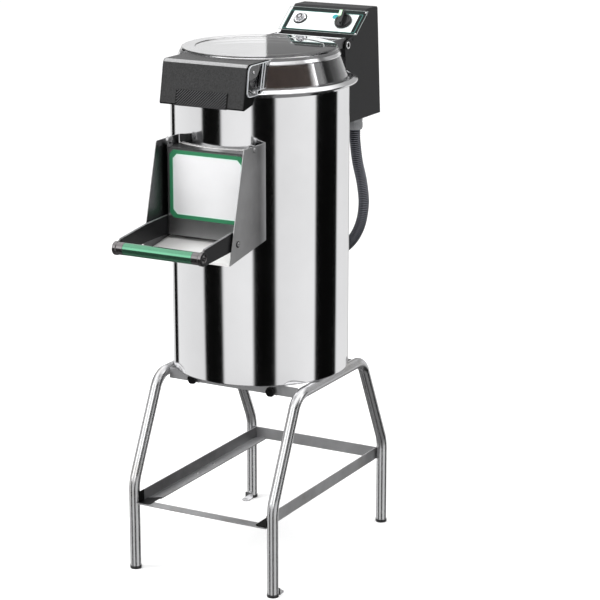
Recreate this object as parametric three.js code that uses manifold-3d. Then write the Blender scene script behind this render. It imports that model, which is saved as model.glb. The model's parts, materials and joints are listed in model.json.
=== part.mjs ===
// Electric potato peeler: a steel drum with an abrasive chamber on a bent-tube stand.
// Millimetres. +Z is up, the discharge door faces -Y, the control box stands at +Y, and +X is
// to the right seen from the door. Pieces are placed from the drum's axis on the floor, and the
// whole object is moved at the end so that its footprint is centred on the origin.

import * as THREE from 'three';
import { mergeVertices } from 'three/addons/utils/BufferGeometryUtils.js';
import Module from 'manifold-3d';

// Clearances and stock
const seatGap = 0.3;
const runningGap = 0.6;
const cutOverrun = 6;
const sheet = 2;
const weldTolerance = 0.001;

// Facet counts
const drumSides = 40;
const lidSides = 40;
const pulleySides = 24;
const roundSides = 16;
const pipeSides = 10;
const bendSteps = 4;

// Drum
const drumRadius = 200;
const drumWall = 2;
const drumBottom = 446;
const drumHeight = 650;
const drumEdgeRadius = 10;
const drumFootWidth = 20;
const rimOverhang = 18.7;
const rimInset = 7;
const rimSkirt = 6;
const rimRise = 10.3;
const rimFlareShares = [
  [0.5, 0.37], [0.97, 0.8], [0.95, 1.09], [0.6, 1.12], [0.1, 1],
];

// Peeling chamber
const linerThickness = 6;
const linerDrop = 56;
const linerRibDepth = 2.4;
const linerRibCount = 18;
const chamberFloorHeight = 296;
const chamberFloorThickness = 3;
const discRise = 17;
const discThickness = 12;
const discWaveHeight = 9;
const discWaveCount = 3;
const discGap = 5;
const discHubRadius = 34;
const discHubHeight = 14;
const discCapRadius = 22;
const discCapHeight = 16;

// Spindle, belt drive and motor
const shaftRadius = 11;
const shaftStubRadius = 8;
const housingRadius = 34;
const housingLength = 92;
const housingFlangeRadius = 72;
const housingFlangeThickness = 8;
const housingRibCount = 6;
const housingRibThickness = 6;
const pulleyWidth = 20;
const pulleyGap = 6;
const motorPulleyRadius = 30;
const pulleyHubRadius = 22;
const pulleyRimThickness = 8;
const pulleyWebThickness = 8;
const pulleyLip = 3;
const beltThickness = 3;
const beltGap = 1;
const beltSideGap = 2;
const motorInset = 68;
const pulleySpace = 12;
const motorRadius = 58;
const motorLength = 118;
const motorFinDepth = 4;
const motorFinCount = 10;
const motorShaftRadius = 7;
const motorPlateThickness = 4;
const motorPlateSlotRadius = 16;
const baseThickness = 2;
const baseVentRadius = 14;
const baseVentCount = 6;
const baseVentInset = 50;

// Water inlet and drain, both turned from the back of the drum towards its left side
const drainAngle = 35;
const drainHeight = 24;
const drainRadius = 21;
const drainWall = 2;
const drainBendRadius = 34;
const drainReach = 22;
const drainDrop = 36;
const inletAngle = 53;
const inletDepth = 34;
const inletRadius = 9;
const inletWall = 1.8;
const inletBendRadius = 16;
const inletReach = 16;
const inletDrop = 22;
const pipeFlange = 9;
const pipeFlangeThickness = 4;
const pipeGap = 1.2;

// Stand
const tubeDiameter = 25;
const standInset = 21;
const legHalfSpread = 267;
const topCornerInset = 44;
const upperBendRadius = 52;
const lowerBendHeight = 206;
const lowerBendRadius = 90;
const footCapHeight = 8;
const footCapFloor = 4;
const footCapWall = 1.2;
const footCapEdge = 1.2;
const stripThickness = 3;
const stripHeight = 24;
const stripDrop = 4.5;
const stripShare = 0.65;
const railHeight = 28;
const railFlange = 30;
const railThickness = 2.5;
const railLevel = 158;
const railHoleRadius = 4;
const railHoleSpacing = 76;
const railFrontInset = 16;
const shelfBarWidth = 25;
const rearBarHeight = 24;
const tabWidth = 20;
const tabLength = 25;
const tabThickness = 2.5;
const tabRise = 8;
const tabHoleRadius = 3.6;

// Thumb knobs that hold the drum to the stand
const knobShare = 0.507;
const knobDrop = 20.5;
const knobRadius = 10.8;
const knobLength = 7.5;
const knobBossRadius = 7;
const knobBossLength = 4;
const knobLobes = 6;
const knobLobeDepth = 1;
const studRadius = 4;
const studLength = 15;
const bracketThickness = 3;
const bracketWidth = 22;
const bracketEdge = 10;

// Discharge opening, collar and chute
const openingHalfWidth = 86;
const openingSill = 354;
const openingHeight = 142;
const collarWall = 6;
const collarReach = 25;
const collarLap = 1.5;
const cheekHalfSpan = 110;
const cheekTopReach = 61.5;
const cheekBottomReach = 125;
const cheekRise = 8;
const cheekDrop = 231.8;
const cheekHeelDrop = 206.5;
const cheekCorner = 5;
const stopReach = 90;
const stopDrop = 190.5;
const stopRadius = 5;
const stopHead = 2.4;
const chuteLip = 3.5;

// Discharge door with its arms and handle
const pivotReach = 17;
const pivotHeight = 540.5;
const pivotRadius = 4;
const pivotHeadRadius = 5.5;
const pivotHeadHeight = 2.4;
const bushRadius = 10;
const doorReach = 31;
const doorHalfWidth = 101;
const doorTopDrop = 9;
const doorDrop = 203;
const doorFlangeGap = 2.5;
const doorSideDepth = 22;
const doorEarRadius = 10;
const gasketWidth = 12;
const labelHalfWidth = 94;
const labelTopDrop = 14;
const labelBottomDrop = 164.5;
const labelBorder = 8.5;
const labelChamfer = 10;
const labelThickness = 0.8;
const armThickness = 4;
const armBackDepth = 22;
const armTopDrop = 160.5;
const armBottomDrop = 204;
const handleReach = 211;
const handleDrop = 195.5;
const handleRadius = 12.5;
const handleWall = 2;
const handleHalfGrip = 84.5;
const handleSpigot = 12;
const armMidShare = 0.42;
const armMidTopShare = 0.1;
const armEndTopShare = 0.44;
const armScrewRadius = 3;

// Lid
const lidDiscInset = 26;
const lidFootInset = 4.5;
const lidFootFlange = 4;
const lidHeight = 68.4;
const lidWall = 3;
const lidEdgeRadius = 4;
const lidBandHeight = 19;
const lidBandThickness = 3;
const lidInnerInset = 32;
const lidInnerStep = 1.4;
const hoodHalfWidth = 104;
const hoodWall = 2.5;
const hoodTopDrop = 7;
const hoodDip = 6;
const hoodBackRise = 4.5;
const hoodCorner = 9;

// Lid handle
const grabThickness = 4;
const grabTopDrop = 5;
const grabTopReach = 26;
const grabFaceReach = 35;
const grabBottomReach = 54.4;
const grabBottomDrop = 22.5;
const grabShoulder = 9;
const grabLipReach = 24;
const grabSideThickness = 3;
const grabHeelReach = 12;
const grabHeelRise = 9;
const padHalfWidth = 64;
const padHeight = 36;
const padThickness = 1;
const padRibDepth = 1;
const padRibWidth = 2.4;
const padRibCount = 11;
const padRibLean = 45;

// Lid hinge
const hingeReach = 41;
const hingeHeight = 54;
const hingePinRadius = 4;
const hingePinEnd = 3;
const hingePinBore = 2;
const hingeEyeRadius = 9;
const strapHalfSpan = 91;
const strapThickness = 3;
const strapRise = 18;
const strapFall = 5;
const strapFoot = 84;
const crossSetback = 16;
const crossFall = 5;
const crossChamferWidth = 50;
const crossChamferHeight = 14;
const hingeBoltRadius = 9;
const hingeBoltHeight = 7;
const sealWidth = 6;
const sealThickness = 3;

// Control box
const boxHalfWidth = 95;
const boxFrontReach = 30;
const boxBottomDrop = 127;
const boxTopRise = 127;
const boxTopFront = 137;
const boxTopBack = 191;
const boxBottomBack = 210;
const boxBackCorner = 6;
const panelLowReach = 68;
const panelLowRise = 72.8;
const panelLip = 11;
const recessDepth = 32;
const recessRise = 22;
const earTopRise = 62.5;
const earCorner = 8;
const bracketHalfWidth = 60;
const bracketWebs = 6;
const bracketLow = 110;
const bracketHigh = 20;

// Control panel
const panelMarginTop = 10;
const panelFrameTop = 13;
const panelFrameSide = 9;
const panelFrameBottom = 6;
const panelSideMargin = 1;
const panelEndMargin = 1.2;
const panelPlate = 0.9;
const buttonOffset = 60;
const buttonPlace = 47;
const bezelRadius = 14.5;
const bezelHeight = 4;
const bezelLip = 3.5;
const buttonRadius = 9.6;
const buttonProud = 5;
const buttonDish = 1;
const buttonStem = 12;
const buttonTravel = 3;
const dialOffset = 54;
const dialPlace = 49;
const dialRadius = 21;
const dialHeight = 8;
const dialEdge = 2;
const pointerWidth = 9;
const pointerHeight = 11;
const pointerOverhang = 2;
const pointerLean = 9;
const dialShaftRadius = 3;
const timerSize = 46;
const timerDepth = 34;
const timerPost = 4;

// Conduit between the control box and the drum
const conduitAngle = 9.5;
const conduitReach = 155;
const glandDrop = 34;
const glandNutRadius = 20;
const glandNutLength = 15;
const glandSleeveRadius = 18.5;
const conduitEntry = 199;
const entryGlandLength = 22;
const conduitRadius = 13.2;
const conduitRibDepth = 1.5;
const conduitBore = 8.8;
const conduitPitch = 5;
const conduitSides = 8;
const conduitRouteShares = [
  [1, 1], [1, 0.957], [1.004, 0.913], [1.069, 0.731], [1.191, 0.535], [1.242, 0.3555], [1.173, 0.2045],
  [1.0435, 0.1145], [0.876, 0.059], [0.5495, 0.0097], [0.3225, 0], [0.2198, 0], [0.1417, 0],
];

// Derived heights and places
const drumTop = drumBottom + drumHeight;
const drumInner = drumRadius - drumWall;
const rimTop = drumTop + rimRise;
const tubeRadius = tubeDiameter / 2;
const standHalfWidth = drumRadius - standInset;
const topCornerHalfSpan = drumRadius - topCornerInset;
const stripOffset = drumRadius * stripShare;
const knobSpacing = drumRadius * knobShare;
const motorOffset = drumRadius - motorInset;
const drivenPulleyRadius = motorOffset - motorPulleyRadius - pulleySpace;
const lidDiscRadius = drumRadius - lidDiscInset;
const lidFootRadius = drumRadius - lidFootInset;
const lidInnerRadius = lidDiscRadius - lidInnerInset;
const conduitOutlet = drumRadius + conduitReach;
const topRunHeight = drumBottom - seatGap - tubeRadius;
const stripEnd = standHalfWidth - tubeRadius - seatGap;
const pivotY = -(drumRadius + pivotReach);
const pivotZ = drumBottom + pivotHeight;
const hingeY = drumRadius + hingeReach;
const hingeZ = drumTop + hingeHeight;
const lidFoot = rimTop + seatGap;
const lidTop = lidFoot + lidHeight;

const DEG = Math.PI / 180;
const wasm = await Module();
wasm.setup();

// Shape helpers

function circlePoints(radius, sides, x = 0, y = 0, from = 0) {
  const points = [];
  for (let i = 0; i < sides; i += 1) {
    const angle = (from + (360 * i) / sides) * DEG;
    points.push([x + radius * Math.cos(angle), y + radius * Math.sin(angle)]);
  }
  return points;
}

function arcPoints(x, y, radius, fromDeg, toDeg, steps) {
  const points = [];
  for (let i = 0; i <= steps; i += 1) {
    const angle = (fromDeg + ((toDeg - fromDeg) * i) / steps) * DEG;
    points.push([x + radius * Math.cos(angle), y + radius * Math.sin(angle)]);
  }
  return points;
}

// Rounds the corner b between a and c with the given radius
function filletCorner(a, b, c, radius, steps) {
  const u = new THREE.Vector2(a[0] - b[0], a[1] - b[1]).normalize();
  const w = new THREE.Vector2(c[0] - b[0], c[1] - b[1]).normalize();
  const half = Math.acos(THREE.MathUtils.clamp(u.dot(w), -1, 1)) / 2;
  const reach = radius / Math.tan(half);
  const middle = u.clone().add(w).normalize().multiplyScalar(radius / Math.sin(half));
  const centre = new THREE.Vector2(b[0], b[1]).add(middle);
  const start = new THREE.Vector2(b[0], b[1]).addScaledVector(u, reach).sub(centre);
  const end = new THREE.Vector2(b[0], b[1]).addScaledVector(w, reach).sub(centre);
  const sweep = Math.atan2(start.cross(end), start.dot(end));
  const points = [];
  for (let i = 0; i <= steps; i += 1) {
    const turned = start.clone().rotateAround(new THREE.Vector2(), (sweep * i) / steps);
    points.push([centre.x + turned.x, centre.y + turned.y]);
  }
  return points;
}

function shapeOf(outline, holes = []) {
  const shape = new THREE.Shape(outline.map(([x, y]) => new THREE.Vector2(x, y)));
  for (const hole of holes) {
    shape.holes.push(new THREE.Path(hole.map(([x, y]) => new THREE.Vector2(x, y))));
  }
  return shape;
}

function extrude(outline, depth, holes) {
  return new THREE.ExtrudeGeometry(shapeOf(outline, holes), { depth, bevelEnabled: false, steps: 1 });
}

// Outline in X and Y, between two heights
function extrudeUp(outline, z0, z1, holes) {
  return extrude(outline, z1 - z0, holes).translate(0, 0, z0);
}

// Outline in Y and Z, between two places along X
function extrudeAcross(outline, x0, x1, holes) {
  const turn = new THREE.Matrix4().makeBasis(
    new THREE.Vector3(0, 1, 0), new THREE.Vector3(0, 0, 1), new THREE.Vector3(1, 0, 0),
  );
  return extrude(outline, x1 - x0, holes).applyMatrix4(turn).translate(x0, 0, 0);
}

// Outline in X and Z, between two places along Y
function extrudeBack(outline, y0, y1, holes) {
  const turn = new THREE.Matrix4().makeBasis(
    new THREE.Vector3(1, 0, 0), new THREE.Vector3(0, 0, 1), new THREE.Vector3(0, -1, 0),
  );
  return extrude(outline, y1 - y0, holes).applyMatrix4(turn).translate(0, y1, 0);
}

function span(x0, x1, y0, y1, z0, z1) {
  return new THREE.BoxGeometry(x1 - x0, y1 - y0, z1 - z0)
    .translate((x0 + x1) / 2, (y0 + y1) / 2, (z0 + z1) / 2);
}

function boxOutline(x0, x1, y0, y1) {
  return [[x0, y0], [x1, y0], [x1, y1], [x0, y1]];
}

function chamferedOutline(x0, x1, y0, y1, cut) {
  return [
    [x0 + cut, y0], [x1 - cut, y0], [x1, y0 + cut], [x1, y1 - cut],
    [x1 - cut, y1], [x0 + cut, y1], [x0, y1 - cut], [x0, y0 + cut],
  ];
}

// Profile of radius and height, turned about Z; it starts and ends on the axis or closes on itself
function turn(profile, sides) {
  const points = profile.map(([r, z]) => new THREE.Vector2(r, z));
  return new THREE.LatheGeometry(points, sides).rotateX(Math.PI / 2);
}

function turnClosed(profile, sides) {
  return turn([...profile, profile[0]], sides);
}

// The same, turned about an axis along Y or along X
function turnAlongY(profile, sides) {
  return turn(profile, sides).rotateX(-Math.PI / 2);
}

function turnAlongX(profile, sides) {
  return turn(profile, sides).rotateY(Math.PI / 2);
}

function rod(radius, z0, z1, sides = roundSides) {
  return turn([[0, z0], [radius, z0], [radius, z1], [0, z1]], sides);
}

// A path whose stations are given one by one, close in the bends and apart on the straights
class StationPath extends THREE.Curve {
  constructor(stations) {
    super();
    this.stations = stations;
  }

  getPoint(t, target = new THREE.Vector3()) {
    const last = this.stations.length - 1;
    return target.copy(this.stations[Math.round(t * last)]);
  }

  getPointAt(t, target) {
    return this.getPoint(t, target);
  }

  getTangent(t, target = new THREE.Vector3()) {
    const last = this.stations.length - 1;
    const i = Math.round(t * last);
    const before = this.stations[Math.max(i - 1, 0)];
    const here = this.stations[i];
    const after = this.stations[Math.min(i + 1, last)];
    const arriving = here.clone().sub(before).normalize();
    const leaving = after.clone().sub(here).normalize();
    return target.copy(arriving.add(leaving)).normalize();
  }

  getTangentAt(t, target) {
    return this.getTangent(t, target);
  }
}

// Solid booleans

function solidOf(geometry) {
  const bare = geometry.clone();
  bare.deleteAttribute('normal');
  bare.deleteAttribute('uv');
  const merged = mergeVertices(bare, weldTolerance);
  const index = merged.index.array;
  const triangles = [];
  for (let i = 0; i < index.length; i += 3) {
    const [a, b, c] = [index[i], index[i + 1], index[i + 2]];
    if (a !== b && b !== c && c !== a) triangles.push(a, b, c);
  }
  const build = (list) => new wasm.Manifold(new wasm.Mesh({
    numProp: 3,
    vertProperties: new Float32Array(merged.attributes.position.array),
    triVerts: new Uint32Array(list),
  }));
  const solid = build(triangles);
  if (solid.volume() >= 0) return solid;
  const flipped = [];
  for (let i = 0; i < triangles.length; i += 3) {
    flipped.push(triangles[i], triangles[i + 2], triangles[i + 1]);
  }
  return build(flipped);
}

function geometryOf(solid) {
  const mesh = solid.getMesh();
  const geometry = new THREE.BufferGeometry();
  const positions = new Float32Array(mesh.vertProperties);
  geometry.setAttribute('position', new THREE.BufferAttribute(positions, 3));
  geometry.setIndex(new THREE.BufferAttribute(new Uint32Array(mesh.triVerts), 1));
  return geometry;
}

function join(first, ...others) {
  return geometryOf(others.reduce((sum, g) => sum.add(solidOf(g)), solidOf(first)));
}

function cut(first, ...tools) {
  return geometryOf(tools.reduce((rest, g) => rest.subtract(solidOf(g)), solidOf(first)));
}

function common(first, second) {
  return geometryOf(solidOf(first).intersect(solidOf(second)));
}

// Scene helpers

const product = new THREE.Group();

function material(color, roughness, metalness, extra = {}) {
  return new THREE.MeshStandardMaterial({ color, roughness, metalness, ...extra });
}

const steel = () => material(0xc9cacc, 0.28, 0.95);
const brightSteel = () => material(0xd8d9db, 0.14, 1);
const castMetal = () => material(0x9fa2a6, 0.5, 0.8);
const blackPlastic = () => material(0x1b1b1d, 0.45, 0.05);
const blackCoat = () => material(0x3b3b3d, 0.7, 0.1);
const rubber = () => material(0x151516, 0.85, 0);
const clear = () => material(0xe9eef0, 0.06, 0, { transparent: true, opacity: 0.3 });

function add(name, geometry, look, parent = product) {
  const mesh = new THREE.Mesh(geometry, look);
  mesh.name = name;
  parent.add(mesh);
  return mesh;
}

function groupAt(x, y, z, parent = product) {
  const group = new THREE.Group();
  group.position.set(x, y, z);
  parent.add(group);
  return group;
}

// The drum's outside surface in front of or behind a place across it
function drumFace(x) {
  return Math.sqrt(Math.max(drumRadius * drumRadius - x * x, 0));
}

// A tall cylinder about the drum's axis, as a cutting tool
function axisPlug(radius, z0, z1, sides = drumSides) {
  return rod(radius, z0, z1, sides);
}

// The same with its facets lined up with the drum's, for a piece made in a turned group
function turnedPlug(angle, halfHeight) {
  return axisPlug(drumRadius + seatGap, -halfHeight, halfHeight).rotateZ(-angle * DEG);
}

// Stand: each side frame is one tube bent four times
function sideFrame(x) {
  const foot = footCapFloor + seatGap;
  const corners = [
    [legHalfSpread, foot], [legHalfSpread, lowerBendHeight], [topCornerHalfSpan, topRunHeight],
    [-topCornerHalfSpan, topRunHeight], [-legHalfSpread, lowerBendHeight], [-legHalfSpread, foot],
  ];
  const radii = [0, lowerBendRadius, upperBendRadius, upperBendRadius, lowerBendRadius, 0];
  const line = [corners[0]];
  for (let i = 1; i < corners.length - 1; i += 1) {
    line.push(...filletCorner(corners[i - 1], corners[i], corners[i + 1], radii[i], bendSteps));
  }
  line.push(corners[corners.length - 1]);
  const path = new StationPath(line.map(([y, z]) => new THREE.Vector3(x, y, z)));
  return new THREE.ExtrudeGeometry(shapeOf(circlePoints(tubeRadius, roundSides)), {
    steps: line.length - 1, bevelEnabled: false, extrudePath: path,
  });
}

function footCap() {
  const inner = tubeRadius + seatGap;
  const outer = inner + footCapWall;
  return turn([
    [0, 0], [outer - footCapEdge, 0], [outer, footCapEdge], [outer, footCapHeight],
    [inner, footCapHeight], [inner, footCapFloor], [0, footCapFloor],
  ], roundSides);
}

const feet = [
  ['front_left', -1, -1], ['front_right', 1, -1], ['rear_left', -1, 1], ['rear_right', 1, 1],
];
for (const [place, sideX, sideY] of feet) {
  const foot = add(`foot_cap_${place}`, footCap(), blackPlastic());
  foot.position.set(sideX * standHalfWidth, sideY * legHalfSpread, 0);
}

// Floor tabs are welded to the inner side of two of the legs
function floorTab() {
  const capFace = tubeRadius + seatGap + footCapWall + seatGap;
  const stem = span(
    -tabWidth / 2, tabWidth / 2, capFace, capFace + tabThickness, 0, footCapHeight + tabRise,
  );
  const end = capFace + tabLength - tabWidth / 2;
  const plate = extrudeUp([
    [tabWidth / 2, capFace], [tabWidth / 2, end],
    ...arcPoints(0, end, tabWidth / 2, 0, 180, bendSteps).slice(1, -1),
    [-tabWidth / 2, end], [-tabWidth / 2, capFace],
  ], 0, tabThickness, [circlePoints(tabHoleRadius, roundSides / 2, 0, end)]);
  const pad = span(
    -tabThickness, tabThickness, tubeRadius / 2, capFace + tabThickness / 2,
    footCapHeight + tabThickness, footCapHeight + tabRise,
  );
  return join(stem, plate, pad);
}

const tabbedFrame = join(
  sideFrame(standHalfWidth), floorTab().translate(standHalfWidth, -legHalfSpread, 0),
);
add('stand_frame_right', tabbedFrame, steel());
add('stand_frame_left', tabbedFrame.clone(), steel()).rotation.z = Math.PI;

// Cross strips under the drum, drilled for the thumb knobs
const stripTop = drumBottom - stripDrop;
const knobZ = drumBottom - knobDrop;
function crossStrip() {
  const holes = [-1, 1].map((side) => circlePoints(
    studRadius + runningGap, roundSides / 2, side * knobSpacing, knobZ,
  ));
  const outline = boxOutline(-stripEnd, stripEnd, stripTop - stripHeight, stripTop);
  return extrudeBack(outline, -stripOffset, stripThickness - stripOffset, holes);
}
add('cross_strip_front', crossStrip(), steel());
add('cross_strip_rear', crossStrip(), steel()).rotation.z = Math.PI;

// Lower shelf frame: two angles between the legs, a flat bar in front and one behind
const railFrontEnd = legHalfSpread - railFrontInset;
function shelfRail() {
  const back = legHalfSpread - railThickness - seatGap;
  const wall = span(
    -stripEnd, railThickness - stripEnd, -railFrontEnd, back, railLevel, railLevel + railHeight,
  );
  const flange = extrudeUp([
    [-stripEnd, -railFrontEnd], [railFlange - stripEnd, railFlange - railFrontEnd],
    [railFlange - stripEnd, back], [-stripEnd, back],
  ], railLevel, railLevel + railThickness, [-1, 1].map((side) => circlePoints(
    railHoleRadius, roundSides / 2, railFlange / 2 - stripEnd, (side * railHoleSpacing) / 2,
  )));
  return join(wall, flange);
}
add('shelf_rail_left', shelfRail(), steel());
add('shelf_rail_right', geometryOf(solidOf(shelfRail()).mirror([1, 0, 0])), steel());
const shelfFront = -railFrontEnd - seatGap - shelfBarWidth;
add('shelf_bar_front', span(
  -stripEnd, stripEnd, shelfFront, shelfFront + shelfBarWidth,
  railLevel, railLevel + railThickness,
), steel());
const rearBarY = legHalfSpread - railThickness;
add('shelf_bar_rear', span(
  -stripEnd, stripEnd, rearBarY, legHalfSpread,
  railLevel + railHeight - rearBarHeight, railLevel + railHeight,
), steel());

// Thumb knobs: a lobed head, a boss against the strip, and a stud into the drum's base bracket
function thumbKnob() {
  const lobes = [];
  const steps = knobLobes * 4;
  for (let i = 0; i < steps; i += 1) {
    const angle = (2 * Math.PI * i) / steps;
    const radius = knobRadius - knobLobeDepth * (1 - Math.cos(knobLobes * angle)) / 2;
    lobes.push([radius * Math.cos(angle), radius * Math.sin(angle)]);
  }
  const boss = knobBossLength + seatGap;
  const head = extrudeBack(lobes, -boss - knobLength, -boss);
  const stem = turnAlongY([
    [0, -boss - knobLength / 2], [knobBossRadius, -boss - knobLength / 2],
    [knobBossRadius, -seatGap], [studRadius, -seatGap], [studRadius, studLength], [0, studLength],
  ], roundSides / 2);
  return join(head, stem);
}
const knobPlaces = [['front_left', -1, 0], ['front_right', 1, 0], ['rear_left', 1, 1], ['rear_right', -1, 1]];
for (const [place, side, turned] of knobPlaces) {
  const holder = groupAt(0, 0, 0);
  holder.rotation.z = turned * Math.PI;
  const knob = add(`thumb_knob_${place}`, thumbKnob(), blackPlastic(), holder);
  knob.position.set(side * knobSpacing, -stripOffset, knobZ);
}

// Drum base with the four brackets that take the studs, and vent holes round the motor
const baseLow = drumBottom + drumWall + seatGap;
function baseTab(side, facing) {
  const near = stripOffset - stripThickness - seatGap;
  const x = side * knobSpacing;
  const tab = span(
    x - bracketWidth / 2, x + bracketWidth / 2, near - bracketThickness, near,
    knobZ - bracketEdge, baseLow + baseThickness / 2,
  );
  const hole = turnAlongY([
    [0, near - bracketThickness - cutOverrun], [studRadius + runningGap, near - bracketThickness - cutOverrun],
    [studRadius + runningGap, near + cutOverrun], [0, near + cutOverrun],
  ], roundSides / 2).translate(x, 0, knobZ);
  return cut(tab, hole).rotateZ(facing * Math.PI);
}
const ventCircle = drumRadius - baseVentInset;
const baseHoles = [];
for (let i = 0; i < baseVentCount; i += 1) {
  const angle = ((i + 0.5) * 360) / baseVentCount * DEG;
  baseHoles.push(circlePoints(
    baseVentRadius, roundSides / 2, ventCircle * Math.cos(angle), ventCircle * Math.sin(angle),
  ));
}
const basePlate = extrudeUp(
  circlePoints(drumInner - seatGap - drumEdgeRadius, drumSides), baseLow, baseLow + baseThickness, baseHoles,
);
add('base_plate', join(
  basePlate, baseTab(-1, 1), baseTab(1, 1), baseTab(-1, 0), baseTab(1, 0),
), steel());

// Drum shell with a rounded bottom edge, the discharge opening and the pipe and conduit holes
const sillZ = drumBottom + openingSill;
const headZ = sillZ + openingHeight;
const floorTop = drumBottom + chamberFloorHeight + chamberFloorThickness;
const drainZ = floorTop + drainHeight;
const inletZ = drumTop - inletDepth;
const entryZ = drumBottom + conduitEntry;
function openingCut(halfWidth, low, high) {
  return span(-halfWidth, halfWidth, -(drumRadius + cutOverrun), -drumRadius / 2, low, high);
}
function wallHole(radius, angle, z) {
  return turnAlongY([
    [0, drumRadius / 2], [radius, drumRadius / 2],
    [radius, drumRadius + cutOverrun], [0, drumRadius + cutOverrun],
  ], roundSides).translate(0, 0, z).rotateZ(angle * DEG);
}
const mouthGrow = collarWall - collarLap;
const edgeZ = drumBottom + drumEdgeRadius;
const edgeR = drumRadius - drumEdgeRadius;
const shellProfile = [
  [drumRadius - drumFootWidth, drumBottom],
  ...arcPoints(edgeR, edgeZ, drumEdgeRadius, -90, 0, bendSteps / 2),
  [drumRadius, drumTop], [drumInner, drumTop],
  ...arcPoints(edgeR, edgeZ, drumEdgeRadius - drumWall, 0, -90, bendSteps / 2),
  [drumRadius - drumFootWidth, drumBottom + drumWall],
];
add('drum_shell', cut(
  turnClosed(shellProfile, drumSides),
  openingCut(openingHalfWidth + mouthGrow, sillZ - mouthGrow, headZ + mouthGrow),
  wallHole(drainRadius + pipeGap, drainAngle, drainZ),
  wallHole(inletRadius + pipeGap, inletAngle, inletZ),
  wallHole(conduitBore, -conduitAngle, entryZ),
), brightSteel());

// Flared rim that the lid closes on
const rimLow = drumTop - rimSkirt;
const rimSeat = drumRadius + seatGap;
const rimProfile = [
  [drumRadius - rimInset, drumTop + seatGap], [rimSeat, drumTop + seatGap], [rimSeat, rimLow],
  ...rimFlareShares.map(([a, b]) => [rimSeat + rimOverhang * a, rimLow + (rimTop - rimLow) * b]),
  [drumRadius - rimInset, rimTop],
];
add('drum_rim', turnClosed(rimProfile, drumSides), brightSteel());

// Chamber floor, the ribbed abrasive liner on it, and the waved abrasive disc
const linerOuter = drumInner - seatGap;
const floorLow = drumBottom + chamberFloorHeight;
add('chamber_floor', extrudeUp(
  circlePoints(linerOuter, drumSides), floorLow, floorTop,
  [circlePoints(shaftRadius + runningGap, roundSides)],
), steel());

const linerTop = drumTop - linerDrop;
const linerWave = [];
const waveSteps = linerRibCount * 4;
for (let i = 0; i < waveSteps; i += 1) {
  const angle = (2 * Math.PI * i) / waveSteps;
  const rib = (1 + Math.cos(linerRibCount * angle)) / 2;
  const radius = linerOuter - linerThickness - linerRibDepth * rib;
  linerWave.push([radius * Math.cos(angle), radius * Math.sin(angle)]);
}
add('chamber_liner', cut(
  extrudeUp(circlePoints(linerOuter, drumSides), floorTop + seatGap, linerTop, [linerWave]),
  openingCut(openingHalfWidth, sillZ, headZ),
  wallHole(drainRadius - drainWall, drainAngle, drainZ),
), material(0x6f6c66, 0.95, 0));

const discRadius = linerOuter - linerThickness - linerRibDepth - discGap;
const discLow = floorTop + discRise;
function wavedDisc() {
  const around = 24;
  const inner = shaftStubRadius + seatGap;
  const flat = discCapRadius + discGap;
  const radii = [inner, flat, (flat * 2 + discRadius) / 3, (flat + discRadius * 2) / 3, discRadius];
  const rings = radii.length - 1;
  const positions = [];
  const faces = [];
  const at = (ring, i, level) => (level * (rings + 1) + ring) * around + (i % around);
  for (const level of [0, 1]) {
    for (let ring = 0; ring <= rings; ring += 1) {
      const radius = radii[ring];
      const swell = Math.sin((Math.PI * Math.max(ring - 1, 0)) / (rings - 1));
      for (let i = 0; i < around; i += 1) {
        const angle = (2 * Math.PI * i) / around;
        const wave = swell * (1 + Math.cos(discWaveCount * angle)) / 2;
        const top = discLow + discThickness + discWaveHeight * wave;
        positions.push(radius * Math.cos(angle), radius * Math.sin(angle), level ? top : discLow);
      }
    }
  }
  for (let i = 0; i < around; i += 1) {
    for (let ring = 0; ring < rings; ring += 1) {
      const [a, b, c, d] = [at(ring, i, 1), at(ring + 1, i, 1), at(ring + 1, i + 1, 1), at(ring, i + 1, 1)];
      faces.push(a, b, c, a, c, d);
      const [e, f, g, h] = [at(ring, i, 0), at(ring + 1, i, 0), at(ring + 1, i + 1, 0), at(ring, i + 1, 0)];
      faces.push(e, g, f, e, h, g);
    }
    faces.push(at(rings, i, 0), at(rings, i + 1, 0), at(rings, i + 1, 1));
    faces.push(at(rings, i, 0), at(rings, i + 1, 1), at(rings, i, 1));
    faces.push(at(0, i, 0), at(0, i + 1, 1), at(0, i + 1, 0));
    faces.push(at(0, i, 0), at(0, i, 1), at(0, i + 1, 1));
  }
  const geometry = new THREE.BufferGeometry();
  geometry.setAttribute('position', new THREE.Float32BufferAttribute(positions, 3));
  geometry.setIndex(faces);
  return geometry;
}
const discTop = discLow + discThickness;
add('abrasive_disc', wavedDisc(), material(0x77736b, 0.95, 0));

// Spindle with its hub under the disc and its cap above, in a ribbed bearing housing
const housingLow = floorLow - seatGap - housingLength;
const drivenTop = housingLow - pulleyGap;
const drivenLow = drivenTop - pulleyWidth;
add('spindle', turn([
  [0, drivenLow - pulleyGap], [shaftStubRadius, drivenLow - pulleyGap],
  [shaftStubRadius, drivenTop + seatGap], [shaftRadius, drivenTop + seatGap],
  [shaftRadius, discLow - seatGap - discHubHeight], [discHubRadius, discLow - seatGap - discHubHeight / 2],
  [discHubRadius, discLow - seatGap], [shaftStubRadius, discLow - seatGap],
  [shaftStubRadius, discTop + seatGap], [discCapRadius, discTop + seatGap],
  [discCapRadius, discTop + discCapHeight / 3], [discCapRadius / 2, discTop + discCapHeight],
  [0, discTop + discCapHeight],
], roundSides), castMetal());

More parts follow.
